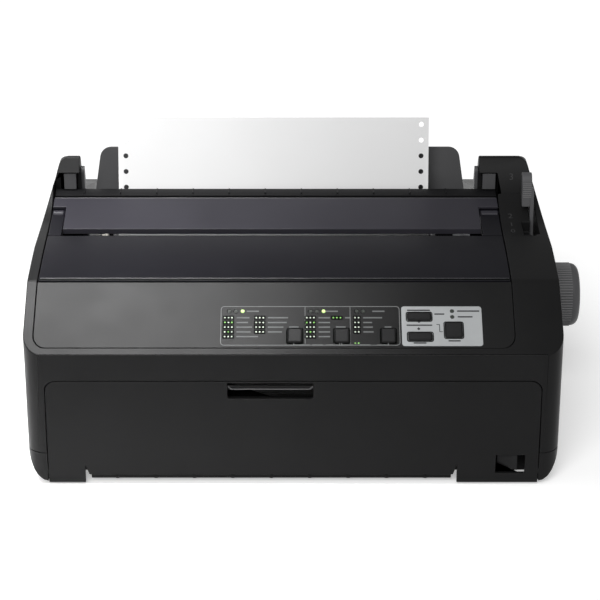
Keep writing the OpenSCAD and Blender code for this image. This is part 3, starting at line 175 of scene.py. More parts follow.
class Finish:
    """A material with a Principled shader, and short ways to add the nodes in front of it."""

    # The CAD model's own plain materials already have the slots' names
    PREFIX = "printer_"

    def __init__(self, name, base, roughness, **sockets):
        self.material = bpy.data.materials.new(self.PREFIX + name)
        self.material.use_nodes = True
        self.tree = self.material.node_tree
        self.shader = self.tree.nodes["Principled BSDF"]
        self.shader.inputs["Base Color"].default_value = (*base, 1.0)
        self.shader.inputs["Roughness"].default_value = roughness
        for key, value in sockets.items():
            self.shader.inputs[key.replace("_", " ")].default_value = value
        self.place = self.tree.nodes.new("ShaderNodeTexCoord").outputs["Object"]

    def link(self, out, socket):
        self.tree.links.new(out, socket)

    def stretched(self, scale):
        """Object coordinates stretched by one factor each way."""
        mapping = self.tree.nodes.new("ShaderNodeMapping")
        mapping.inputs["Scale"].default_value = scale
        self.link(self.place, mapping.inputs["Vector"])
        return mapping.outputs["Vector"]

    def noise(self, scale, detail=3.0, place=None):
        node = self.tree.nodes.new("ShaderNodeTexNoise")
        node.inputs["Scale"].default_value = scale
        node.inputs["Detail"].default_value = detail
        self.link(place or self.place, node.inputs["Vector"])
        return node.outputs["Fac"]

    def cells(self, scale):
        node = self.tree.nodes.new("ShaderNodeTexVoronoi")
        node.inputs["Scale"].default_value = scale
        self.link(self.place, node.inputs["Vector"])
        return node.outputs["Distance"]

    def wave(self, scale, direction, distortion=0.0):
        node = self.tree.nodes.new("ShaderNodeTexWave")
        node.bands_direction = direction
        node.inputs["Scale"].default_value = scale
        node.inputs["Distortion"].default_value = distortion
        self.link(self.place, node.inputs["Vector"])
        return node.outputs["Fac"]

    def spread(self, fac, low, high, from_low=0.3, from_high=0.7):
        """Spreads a factor over a range of values."""
        node = self.tree.nodes.new("ShaderNodeMapRange")
        ends = {"From Min": from_low, "From Max": from_high, "To Min": low, "To Max": high}
        for key, value in ends.items():
            node.inputs[key].default_value = value
        self.link(fac, node.inputs["Value"])
        return node.outputs["Result"]

    def tint(self, fac, dark, light):
        """Base colour between two tones."""
        node = self.tree.nodes.new("ShaderNodeMix")
        node.data_type = "RGBA"
        node.inputs["A"].default_value = (*dark, 1.0)
        node.inputs["B"].default_value = (*light, 1.0)
        self.link(fac, node.inputs["Factor"])
        self.link(node.outputs["Result"], self.shader.inputs["Base Color"])

    def rough(self, fac, low, high):
        self.link(self.spread(fac, low, high), self.shader.inputs["Roughness"])

    def bump(self, height, strength, depth_mm):
        node = self.tree.nodes.new("ShaderNodeBump")
        node.inputs["Strength"].default_value = strength
        node.inputs["Distance"].default_value = depth_mm * MM
        self.link(height, node.inputs["Height"])
        previous = self.shader.inputs["Normal"].links
        if previous:
            self.link(previous[0].from_socket, node.inputs["Normal"])
        self.link(node.outputs["Normal"], self.shader.inputs["Normal"])


def tones(base, spread):
    """A darker and a lighter tone of one colour."""
    return [c * (1 - spread) for c in base], [min(1.0, c * (1 + spread)) for c in base]


def textured_plastic(name, base, roughness, grain_mm=0.45, depth=0.035, level=0.4):
    """Injection-moulded plastic with a fine spark-eroded texture."""
    finish = Finish(name, base, roughness, Specular_IOR_Level=level)
    grain = finish.noise(1 / (grain_mm * MM), 2.0)
    patches = finish.noise(22.0, 4.0)
    finish.tint(finish.spread(patches, 0.0, 1.0), *tones(base, 0.10))
    finish.rough(patches, roughness - 0.035, roughness + 0.035)
    finish.bump(grain, 0.55, depth)
    return finish.material


def gloss_plastic(name, base, roughness, level=0.5):
    """Smooth plastic: faint flow waves under a satin gloss, and dust-fine specks."""
    finish = Finish(name, base, roughness, Specular_IOR_Level=level)
    flow = finish.noise(14.0, 3.0)
    specks = finish.cells(900.0)
    finish.tint(finish.spread(flow, 0.0, 1.0), *tones(base, 0.12))
    finish.rough(finish.noise(60.0, 5.0), roughness - 0.03, roughness + 0.04)
    finish.bump(flow, 0.12, 0.4)
    finish.bump(specks, 0.10, 0.02)
    return finish.material


def sheet_steel(name, base, roughness=0.38):
    """Zinc-plated sheet: brushed one way, with soft cloudy patches."""
    finish = Finish(name, base, roughness, Metallic=1.0)
    brushed = finish.noise(60.0, 6.0, finish.stretched((1.0, 40.0, 40.0)))
    clouds = finish.noise(35.0, 5.0)
    finish.tint(finish.spread(clouds, 0.0, 1.0), *tones(base, 0.14))
    finish.rough(brushed, roughness - 0.1, roughness + 0.12)
    finish.bump(brushed, 0.25, 0.02)
    return finish.material


def rubber(name, base, roughness=0.75):
    """Ground rubber: a dull skin with fine pits."""
    finish = Finish(name, base, roughness, Specular_IOR_Level=0.3)
    pits = finish.noise(1800.0, 3.0)
    finish.tint(finish.spread(finish.noise(50.0, 4.0), 0.0, 1.0), *tones(base, 0.2))
    finish.rough(pits, roughness - 0.08, roughness + 0.08)
    finish.bump(pits, 0.4, 0.06)
    return finish.material


def circuit_board(name, base):
    """Solder mask over copper: the tracks show as lighter lines."""
    finish = Finish(name, base, 0.35, Specular_IOR_Level=0.5)
    lines = finish.wave(170.0, "X", 4.0)
    finish.tint(finish.spread(lines, 0.0, 1.0, 0.45, 0.6), *tones(base, 0.3))
    finish.rough(finish.noise(90.0), 0.3, 0.42)
    finish.bump(lines, 0.2, 0.05)
    return finish.material


def woven_ribbon(name, base):
    """Inked nylon: a fine plain weave."""
    finish = Finish(name, base, 0.8, Specular_IOR_Level=0.2)
    weave = finish.wave(1100.0, "X")
    threads = finish.wave(1100.0, "Z")
    finish.tint(finish.noise(40.0), *tones(base, 0.3))
    finish.bump(weave, 0.5, 0.05)
    finish.bump(threads, 0.5, 0.05)
    return finish.material


def printer_paper(name, base):
    """Uncoated paper: long fibres, a faint tone and a dull surface."""
    finish = Finish(name, base, 0.9, Specular_IOR_Level=0.15)
    fibres = finish.noise(700.0, 6.0, finish.stretched((1.0, 0.35, 0.35)))
    finish.tint(finish.spread(finish.noise(9.0, 5.0), 0.0, 1.0), *tones(base, 0.02))
    finish.rough(fibres, 0.86, 0.94)
    finish.bump(fibres, 0.25, 0.04)
    return finish.material


def printed_film(name, base, level=0.06):
    """Screen-printed ink: a thin film, a little uneven, with a soft sheen."""
    finish = Finish(name, base, 0.6, Specular_IOR_Level=level)
    finish.tint(finish.spread(finish.noise(400.0, 3.0), 0.0, 1.0), *tones(base, 0.06))
    finish.rough(finish.noise(1500.0, 2.0), 0.55, 0.65)
    return finish.material


def lamp_glass(name, base, strength):
    """Small lamp lens, lit from behind where strength is above 0; it also gives the printed dots of the
    tables a faint glow, which is painted light.
    """
    finish = Finish(name, base, 0.4, Specular_IOR_Level=0.1)
    finish.shader.inputs["Emission Color"].default_value = (*base, 1.0)
    finish.shader.inputs["Emission Strength"].default_value = strength
    finish.tint(finish.spread(finish.cells(700.0), 0.0, 1.0), *tones(base, 0.15))
    return finish.material


def finish_for(slot):
    """The material of one slot or look, made the first time that it is asked for."""
    made = bpy.data.materials.get(Finish.PREFIX + slot)
    if made:
        return made
    look = bpy.context.scene.printer_finish
    makers = {
        "casing": lambda: textured_plastic(slot, look.casing, 0.4, level=0.11),
        "panel": lambda: textured_plastic(slot, look.panel, 0.4, 0.4, 0.03, 0.11),
        "smoked_cover": lambda: gloss_plastic(slot, look.smoke, 0.32, 0.12),
        "smoked_separator": lambda: gloss_plastic(slot, look.separator, 0.34, 0.14),
        "dark_plastic": lambda: textured_plastic(slot, look.dark, 0.5, level=0.1),
        "grey_plastic": lambda: textured_plastic(slot, look.grey, 0.42, 0.35, 0.02, 0.2),
        "key_plastic": lambda: textured_plastic(slot, look.key, 0.4, 0.3, 0.01, 0.1),
        "panel_ink": lambda: printed_film(slot, look.ink),
        "label_ink": lambda: printed_film(slot, look.label),
        "plate_ink": lambda: printed_film(slot, (0.03, 0.03, 0.032)),
        # Dark print of the tables' grounds, and the same black for painted shade in the gaps round keys and
        # behind the panel's kink
        "dark_print_and_shade": lambda: printed_film(slot, (0.005, 0.0055, 0.005), 0.0),
        # Printed dots of the tables, given a faint glow that is painted light
        "table_dots_glow": lambda: lamp_glass(slot, (0.5, 0.55, 0.48), 0.08),
        "green_dots_glow": lambda: lamp_glass(slot, (0.2, 0.45, 0.12), 0.05),
        "dark_lamp": lambda: lamp_glass(slot, (0.04, 0.045, 0.04), 0.0),
        "guide_plastic": lambda: textured_plastic(slot, (0.065, 0.065, 0.067), 0.45, 0.4, 0.02, 0.2),
        # Painted highlight: the ribs and ridges are the grey plastic of knob and lever, painted lighter
        # where their edges catch the light
        "ridge": lambda: textured_plastic(slot, (0.15, 0.15, 0.153), 0.4, 0.3, 0.01, 0.3),
        # Painted highlight: the raised digits are moulded in the casing's own plastic, painted lighter where
        # light catches them
        "digit_highlight": lambda: textured_plastic(slot, (0.03, 0.03, 0.031), 0.4, 0.3, 0.01, 0.2),
        # Glossy rods along the covers' edges: real highlights from their round shape, and a base lighter
        # than the covers as a painted highlight
        "edge_highlight_line": lambda: gloss_plastic(slot, (0.03, 0.029, 0.034), 0.3, 0.45),
        # Painted highlight: a light grey that stands for the light on a rounded lip
        "painted_highlight": lambda: textured_plastic(slot, (0.09, 0.09, 0.092), 0.4, 0.35, 0.01),
        "light_plastic": lambda: gloss_plastic(slot, (0.62, 0.6, 0.54), 0.4),
        "silver_label": lambda: textured_plastic(slot, look.silver, 0.5, 0.3, 0.01),
        "indicator": lambda: lamp_glass(slot, look.lamp, 0.45),
        "circuit_board": lambda: circuit_board(slot, (0.02, 0.11, 0.05)),
        "steel": lambda: sheet_steel(slot, (0.52, 0.53, 0.55)),
        "motor_black": lambda: textured_plastic(slot, (0.02, 0.02, 0.021), 0.3, 0.6, 0.03),
        "rubber": lambda: rubber(slot, (0.016, 0.016, 0.017)),
        "ribbon_fabric": lambda: woven_ribbon(slot, (0.008, 0.008, 0.01)),
        "head_alloy": lambda: sheet_steel(slot, (0.12, 0.12, 0.125), 0.45),
        "paper": lambda: printer_paper(slot, look.paper),
    }
    return makers[slot]()


# ---------------------------------------------------------------- piece building

SLOT_OF = {part["node"]: part["material_slot"] for part in frame["record"]["subparts"]}
BODY_OF = {node: body for body, nodes in frame["record"]["behaviour"]["bodies"].items() for node in nodes}


def new_piece(name, mesh):
    piece = bpy.data.objects.new(name, mesh)
    bpy.context.scene.collection.objects.link(piece)
    return piece


def evaluated_mesh(holder):
    """Mesh of a piece with its modifiers applied, or of a text."""
    bpy.context.view_layer.update()
    graph = bpy.context.evaluated_depsgraph_get()
    return bpy.data.meshes.new_from_object(holder.evaluated_get(graph), depsgraph=graph)


def bake(piece):
    """Turns the piece's modifiers into mesh."""
    mesh = evaluated_mesh(piece)
    mesh.name = piece.name
    piece.modifiers.clear()
    piece.data = mesh
    return piece


def smooth_sides(mesh, angle):
    """Smooth shading, with sharp edges above an angle in degrees."""
    mesh.shade_smooth()
    mesh.set_sharp_from_angle(angle=math.radians(angle))


def soften(piece, width, segments=3, angle=32.0):
    """Rounds the piece's edges and keeps its flats flat in the shading."""
    bevel = piece.modifiers.new("bevel", "BEVEL")
    bevel.width = width
    bevel.segments = segments
    bevel.limit_method = "ANGLE"
    bevel.angle_limit = math.radians(angle)
    bevel.miter_outer = "MITER_ARC"
    bevel.use_clamp_overlap = False
    bake(piece)
    smooth_sides(piece.data, 40.0)
    flats = piece.modifiers.new("flats", "WEIGHTED_NORMAL")
    flats.keep_sharp = True
    flats.weight = 100
    return bake(piece)


def finished_mesh(name, shape):
    """Mesh of a bmesh, which is freed."""
    mesh = bpy.data.meshes.new(name)
    shape.to_mesh(mesh)
    shape.free()
    return mesh


def merged_copy(node, flat_angle=0.3):
    """Copy of a CAD node's mesh with its points joined and its flats in one face each."""
    mesh = frame["nodes"][node].data.copy()
    mesh.materials.clear()
    shape = bmesh.new()
    shape.from_mesh(mesh)
    bmesh.ops.remove_doubles(shape, verts=shape.verts, dist=2e-6)
    bmesh.ops.dissolve_limit(
        shape, angle_limit=math.radians(flat_angle), verts=shape.verts, edges=shape.edges)
    shape.to_mesh(mesh)
    shape.free()
    return new_piece(node + "_finished", mesh)


def settle(piece, node=None, body=None, slot=None, material=None):
    """Gives a finished piece its material, its body and the node that it stands for."""
    slot = slot or SLOT_OF[node]
    if isinstance(material, str):
        material = finish_for(material)
    piece.data.materials.clear()
    piece.data.materials.append(material or finish_for(slot))
    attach(piece, body or BODY_OF[node])
    if node:
        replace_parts(piece, node)
    return piece


def refine(node, width, segments=3, material=None):
    """The CAD shape with rounded edges and smooth round surfaces."""
    return settle(soften(merged_copy(node), width, segments), node, material=material)


def joined(name, meshes):
    """One mesh from several (mesh, matrix) pairs."""
    shape = bmesh.new()
    for mesh, matrix in meshes:
        part = mesh.copy()
        part.transform(matrix)
        shape.from_mesh(part)
        bpy.data.meshes.remove(part)
    return finished_mesh(name, shape)


def print_on_panel(name, meshes, look, slot="panel"):
    """One piece of flat meshes that lie on the control panel."""
    whole = joined(name, [(mesh, panel_matrix()) for mesh in meshes])
    settle(new_piece(name, whole), body="root", slot=slot, material=look)


def slab(name, outline, low, high):
    """Closed plate from a 2-D outline in millimetres, between two heights."""
    shape = bmesh.new()
    rings = [[shape.verts.new(Vector((x, y, h)) * MM) for x, y in outline] for h in (low, high)]
    shape.faces.new(list(reversed(rings[0])))
    shape.faces.new(rings[1])
    count = len(outline)
    for i in range(count):
        j = (i + 1) % count
        shape.faces.new((rings[0][i], rings[0][j], rings[1][j], rings[1][i]))
    return finished_mesh(name, shape)


def rounded_box(x0, y0, x1, y1, radius, steps=5):
    """Outline of a rectangle with round corners."""
    corners = ((x1 - radius, y0 + radius, -90), (x1 - radius, y1 - radius, 0),
               (x0 + radius, y1 - radius, 90), (x0 + radius, y0 + radius, 180))
    return [(cx + radius * math.cos(math.radians(a0 + 90 * i / steps)),
             cy + radius * math.sin(math.radians(a0 + 90 * i / steps)))
            for cx, cy, a0 in corners for i in range(steps + 1)]


def band(name, points, width, low, high, closed=False):
    """Flat line of even width along 2-D points in millimetres."""
    count = len(points)
    shape = bmesh.new()
    rings = []
    for i, (x, y) in enumerate(points):
        before = points[i - 1] if closed or i else points[i]
        after = points[(i + 1) % count] if closed or i < count - 1 else points[i]
        one = Vector((x - before[0], y - before[1]))
        two = Vector((after[0] - x, after[1] - y))
        one = one.normalized() if one.length else two.normalized()
        two = two.normalized() if two.length else one
        middle = (one + two).normalized()
        side = Vector((-middle.y, middle.x)) * (width / 2 / max(0.4, middle.dot(one)))
        rings.append([shape.verts.new(Vector((x + k * side.x, y + k * side.y, h)) * MM)
                      for k, h in ((1, low), (-1, low), (-1, high), (1, high))])
    for i in range(count if closed else count - 1):
        a, b = rings[i], rings[(i + 1) % count]
        for k in range(4):
            m = (k + 1) % 4
            shape.faces.new((a[k], a[m], b[m], b[k]))
    if not closed:
        shape.faces.new(list(reversed(rings[0])))
        shape.faces.new(rings[-1])
    bmesh.ops.recalc_face_normals(shape, faces=shape.faces)
    return finished_mesh(name, shape)


def lathe(name, profile, steps):
    """Solid turned about X from (x, radius) points in millimetres."""
    shape = bmesh.new()
    rings = []
    for x, radius in profile:
        if radius < 1e-6:
            rings.append([shape.verts.new(Vector((x, 0, 0)) * MM)])
            continue
        rings.append([shape.verts.new(Vector((x, radius * math.cos(a), radius * math.sin(a))) * MM)
                      for a in [2 * math.pi * i / steps for i in range(steps)]])
    for a, b in zip(rings, rings[1:]):
        for i in range(steps):
            j = (i + 1) % steps
            corners = [a[i % len(a)], a[j % len(a)], b[j % len(b)], b[i % len(b)]]
            shape.faces.new(list(dict.fromkeys(corners)))
    bmesh.ops.recalc_face_normals(shape, faces=shape.faces)
    return finished_mesh(name, shape)


def arc_points(cx, cy, rx, ry, start, end, steps):
    """Points along an ellipse, between two angles in degrees."""
    return [(cx + rx * math.cos(math.radians(start + (end - start) * i / steps)),
             cy + ry * math.sin(math.radians(start + (end - start) * i / steps)))
            for i in range(steps + 1)]


def numeral(name, text, size, thick):
    """Mesh of plain digits, lying in X and Y, raised by thick millimetres."""
    curve = bpy.data.curves.new(name, "FONT")
    curve.body = text
    curve.size = size * MM
    curve.extrude = thick * MM / 2
    curve.align_x = "CENTER"
    curve.align_y = "CENTER"
    curve.resolution_u = 3
    holder = bpy.data.objects.new(name, curve)
    bpy.context.scene.collection.objects.link(holder)
    mesh = evaluated_mesh(holder)
    bpy.data.objects.remove(holder)
    return mesh


# ---------------------------------------------------------------- geometry nodes


class Tree:
    """Geometry node tree with named inputs, ending in Realize Instances and Set Material."""

    def __init__(self, name):
        self.group = bpy.data.node_groups.new(name, "GeometryNodeTree")
        self.inputs = {}
        self.entry = self.group.nodes.new("NodeGroupInput")
        self.socket("Points", "NodeSocketGeometry")
        self.group.interface.new_socket("Pieces", in_out="OUTPUT", socket_type="NodeSocketGeometry")

    def socket(self, name, kind, default=None):
        made = self.group.interface.new_socket(name, in_out="INPUT", socket_type=kind)
        if default is not None:
            made.default_value = default
        self.inputs[name] = made.identifier
        return self.entry.outputs[name]

    def node(self, kind, links=None, values=None, **attributes):
        node = self.group.nodes.new(kind)
        for key, value in attributes.items():
            setattr(node, key, value)
        for key, value in (values or {}).items():
            node.inputs[key].default_value = value
        for key, out in (links or {}).items():
            self.group.links.new(out, node.inputs[key])
        return node

    def place_on(self, points, piece, **links):
        """The piece on each point."""
        links = {"Points": points, "Instance": piece.outputs["Mesh"], **links}
        return self.node("GeometryNodeInstanceOnPoints", links).outputs[0]

    def close(self, instances):
        material = self.socket("Material", "NodeSocketMaterial")
        real = self.node("GeometryNodeRealizeInstances", {"Geometry": instances})
        paint = self.node("GeometryNodeSetMaterial", {"Geometry": real.outputs[0], "Material": material})
        end = self.group.nodes.new("NodeGroupOutput")
        self.group.links.new(paint.outputs[0], end.inputs["Pieces"])
        return self

    def run(self, name, points, material, values, matrix=None):
        """Runs the tree over points in millimetres and returns the mesh that it makes."""
        seed = bpy.data.meshes.new(name + "_points")
        seed.from_pydata([Vector(p) * MM for p in points], [], [])
        holder = new_piece(name, seed)
        modifier = holder.modifiers.new("pieces", "NODES")
        modifier.node_group = self.group
        modifier[self.inputs["Material"]] = material
        for key, value in values.items():
            modifier[self.inputs[key]] = value
        bake(holder)
        mesh = holder.data
        bpy.data.objects.remove(holder)
        if matrix is not None:
            mesh.transform(matrix)
        return mesh


TREES = {}


def shared_tree(build):
    """The tree that a function builds, made the first time that it is asked for."""
    name = build.__name__
    if name not in TREES:
        TREES[name] = build(Tree(name))
    return TREES[name]


def round_studs(tree):
    """A low drum on each point."""
    radius = tree.socket("Radius", "NodeSocketFloat", 1 * MM)
    height = tree.socket("Height", "NodeSocketFloat", 0.2 * MM)
    drum = tree.node("GeometryNodeMeshCylinder", {"Radius": radius, "Depth": height}, {"Vertices": 16})
    return tree.close(tree.place_on(tree.entry.outputs["Points"], drum))


def bars(tree):
    """A bar on each point, all turned alike."""
    size = tree.socket("Size", "NodeSocketVector")
    turn = tree.socket("Turn", "NodeSocketVector")
    bar = tree.node("GeometryNodeMeshCube", {"Size": size})
    return tree.close(tree.place_on(tree.entry.outputs["Points"], bar, Rotation=turn))


def ring_of_ribs(tree):
    """Round bars in a ring round the X axis, all along it."""
    count = tree.socket("Count", "NodeSocketInt", 72)
    ring = tree.socket("Ring radius", "NodeSocketFloat", 26 * MM)
    rib = tree.socket("Rib radius", "NodeSocketFloat", 0.6 * MM)
    reach = tree.socket("Rib length", "NodeSocketFloat", 18 * MM)
    circle = tree.node("GeometryNodeMeshCircle", {"Vertices": count, "Radius": ring})
    bar = tree.node("GeometryNodeMeshCylinder", {"Radius": rib, "Depth": reach}, {"Vertices": 8})
    ring_z = tree.place_on(circle.outputs["Mesh"], bar)
    turned = tree.node("GeometryNodeTransform", {"Geometry": ring_z}, {"Rotation": (0, math.radians(90), 0)})
    return tree.close(turned.outputs[0])


def cross_screws(tree):
    """A domed screw head with a cross recess on each point, facing +Y."""
    radius = tree.socket("Radius", "NodeSocketFloat", 3 * MM)
    height = tree.socket("Height", "NodeSocketFloat", 1.2 * MM)
    ball = tree.node("GeometryNodeMeshUVSphere", {"Radius": radius}, {"Segments": 24, "Rings": 12})
    squash = tree.node("ShaderNodeCombineXYZ", values={"X": 1.0, "Y": 0.4, "Z": 1.0})
    dome = tree.node("GeometryNodeTransform", {"Geometry": ball.outputs["Mesh"], "Scale": squash.outputs[0]})
    lift = tree.node("ShaderNodeCombineXYZ", {"Y": height})
    cross = tree.node("GeometryNodeJoinGeometry")
    long, narrow = 1.2, 0.26
    for share in ((long, 1.0, narrow), (narrow, 1.0, long)):
        head_size = tree.node("ShaderNodeCombineXYZ", {"X": radius, "Y": height, "Z": radius})
        size = tree.node("ShaderNodeVectorMath", {0: head_size.outputs[0]}, {1: share}, operation="MULTIPLY")
        blade = tree.node("GeometryNodeMeshCube", {"Size": size.outputs[0]})
        moved = tree.node("GeometryNodeTransform", {"Geometry": blade.outputs["Mesh"],
                                                    "Translation": lift.outputs[0]})
        tree.group.links.new(moved.outputs[0], cross.inputs[0])
    head = tree.node("GeometryNodeMeshBoolean", {"Mesh 1": dome.outputs[0], "Mesh 2": cross.outputs[0]},
                     {"Self Intersection": True}, operation="DIFFERENCE", solver="EXACT")
    return tree.close(tree.place_on(tree.entry.outputs["Points"], head))


def grown(name, build, points, slot, look, values, matrix=None, body="root", node=None):
    """Runs a shared tree over points in millimetres and settles its mesh on a body."""
    material = finish_for(look)
    mesh = shared_tree(build).run(name, points, material, values, matrix)
    return settle(new_piece(name, mesh), node, body, slot, material)


# ---------------------------------------------------------------- operators


class PieceOperator:
    """What all the operators share."""
    bl_options = {"REGISTER", "UNDO"}


class PRINTER_OT_casing(PieceOperator, bpy.types.Operator):
    """Upper and lower casing, with the scale beside the thickness lever"""
    bl_idname = "printer.casing"
    bl_label = "Casing"

    # Numbers beside the lever, moulded in the casing and painted lighter as a painted highlight, with their
    # places across and back
    SCALE = (("0", 171.5, 129.0), ("1", 171.5, 141.0), ("2", 171.5, 153.0), ("3", 174.5, 184.0))
    DIGIT_SIZE = 8.0
    DIGIT_THICK = 0.6

    def execute(self, context):
        edge = context.scene.printer_edges
        refine("top_case", edge.casing)
        refine("lower_case", edge.casing)
        digits = []
        for text, s, u in self.SCALE:
            point, normal = surface("top_case", s, u)
            across = Vector((1, 0, 0)) - normal * normal.x
            turn = Matrix((across.normalized(), normal.cross(across).normalized(), normal)).transposed()
            digit = numeral("digit", text, self.DIGIT_SIZE, self.DIGIT_THICK)
            digits.append((digit, Matrix.Translation(point) @ turn.to_4x4()))
        scale = new_piece("lever_scale", joined("lever_scale", digits))
        # The digits' lighter colour is a painted highlight
        settle(scale, body="root", slot="casing", material="digit_highlight")
        return {"FINISHED"}


class PRINTER_OT_covers(PieceOperator, bpy.types.Operator):
    """Printer cover, separator, exit band, brackets, sheet guide and front cover"""
    bl_idname = "printer.covers"
    bl_label = "Covers"

    # The finger notch: its two sides, and the painted highlight line on its lip, whose ends bend up
    NOTCH = (-48.6, 14.8)
    LIP_Z = 77.4
    LIP_BEND = 2.6
    LIP_IN = 0.3
    LIP_BACK = 2.6
    LIP_WIDTH = 0.7
    # Highlight lines along the covers: glossy rods, their base also painted lighter than the covers as a
    # painted highlight. Radius, and the share of it that is sunk
    LINE_R = 0.45
    LINE_SUNK = 0.6
    # They stop short of the separator's ends, in from its rear edge and back from the panel's kink
    END_GAP = 0.6
    REAR_IN = 0.7
    COVER_BACK = 3.2
    # Barrels in the separator's corners: middle line, radius, sunk share, and the two lengths
    BARREL_U = 157.0
    BARREL_R = 3.2
    BARREL_SUNK = 0.4
    BARREL_LEFT = 8.4
    BARREL_RIGHT = 13.4
    # Painted shade in the gap behind the panel's kink, a dark strip in front of the cover's line: from and
    # to behind the kink, and where it is measured
    GAP_SHADE = (1.0, 2.6)
    GAP_SHADE_LIFT = 0.1
    MEASURE_IN = 40.0

    def rod(self, name, node, ends, u, radius, sunk, look):
        """Rod from side to side on the top of a node, sunk into it by part of its radius."""
        reach = (ends[1] - ends[0]) / 2
        soft = min(0.6, radius / 2)
        outline = [(-reach, 0), (-reach, radius - soft), (soft - reach, radius), (reach - soft, radius),
                   (reach, radius - soft), (reach, 0)]
        mesh = lathe(name, outline, 32)
        point, _ = surface(node, sum(ends) / 2, u)
        mesh.transform(Matrix.Translation(point - Vector((0, 0, sunk * radius * MM))))
        smooth_sides(mesh, 35.0)
        settle(new_piece(name, mesh), body=BODY_OF[node], slot=SLOT_OF[node], material=look)

    def gap_shade(self, ends):
        """Painted shade: a dark strip on the cover behind the kink of the panel, where the gap lies in
        shade.
        """
        front, rear = [surface("printer_cover", ends[0] + self.MEASURE_IN, KINK_U + back)[0]
                       for back in self.GAP_SHADE]
        left, right = [at(s, 0, 0).x for s in ends]
        lift = self.GAP_SHADE_LIFT * MM
        corners = ((left, front), (right, front), (right, rear), (left, rear))
        mesh = bpy.data.meshes.new("cover_groove")
        mesh.from_pydata([(x, point.y, point.z + lift) for x, point in corners], [], [(0, 1, 2, 3)])
        settle(new_piece("cover_groove", mesh), body=BODY_OF["printer_cover"], slot="smoked_cover",
               material="dark_print_and_shade")

    def edge_highlights_and_shade(self):
        """Rounded edges that catch the light along the covers, their colour partly a painted highlight, the
        barrels at the corners, and the painted shade behind the panel's kink.
        """
        low, high = [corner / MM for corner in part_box("separator")]
        left = low.x + SIDE_SHIFT + self.END_GAP
        right = high.x + SIDE_SHIFT - self.END_GAP
        line = (self.LINE_R, self.LINE_SUNK, "edge_highlight_line")
        rear = high.y + FRONT_SHIFT - self.REAR_IN
        self.rod("separator_rear_edge", "separator", (left, right), rear, *line)
        self.rod("cover_front_edge", "printer_cover", (left, right), KINK_U + self.COVER_BACK, *line)
        barrel = (self.BARREL_U, self.BARREL_R, self.BARREL_SUNK, "smoked_separator")
        self.rod("barrel_left", "printer_cover", (left, left + self.BARREL_LEFT), *barrel)
        self.rod("barrel_right", "printer_cover", (right - self.BARREL_RIGHT, right), *barrel)
        self.gap_shade((left, right))

    def notch_lip(self):
        """Painted highlight: a lighter band along the lip of the finger notch in the front cover, where
        light falls on the lip.
        """
        left, right = self.NOTCH
        high = self.LIP_Z + self.LIP_BEND
        line = [(left + self.LIP_IN, high), (left + self.LIP_BEND, self.LIP_Z),
                (right - self.LIP_BEND, self.LIP_Z), (right - self.LIP_IN, high)]
        lip = band("notch_lip", line, self.LIP_WIDTH, -self.LIP_WIDTH / 2, self.LIP_WIDTH / 2)
        lip.transform(Matrix.Translation(at(0, self.LIP_BACK, 0)) @ Matrix.Rotation(math.pi / 2, 4, "X"))
        settle(new_piece("notch_lip", lip), body="front_cover", slot="casing", material="painted_highlight")

    def execute(self, context):
        edge = context.scene.printer_edges
        refine("printer_cover", edge.cover)
        refine("separator", edge.cover, material="smoked_separator")
        refine("exit_guide", edge.small)
        refine("guide_brackets", edge.small)
        refine("sheet_guide", edge.cover, material="guide_plastic")
        refine("front_cover", edge.cover)
        refine("front_paper_guide", edge.small)
        self.edge_highlights_and_shade()
        self.notch_lip()
        return {"FINISHED"}


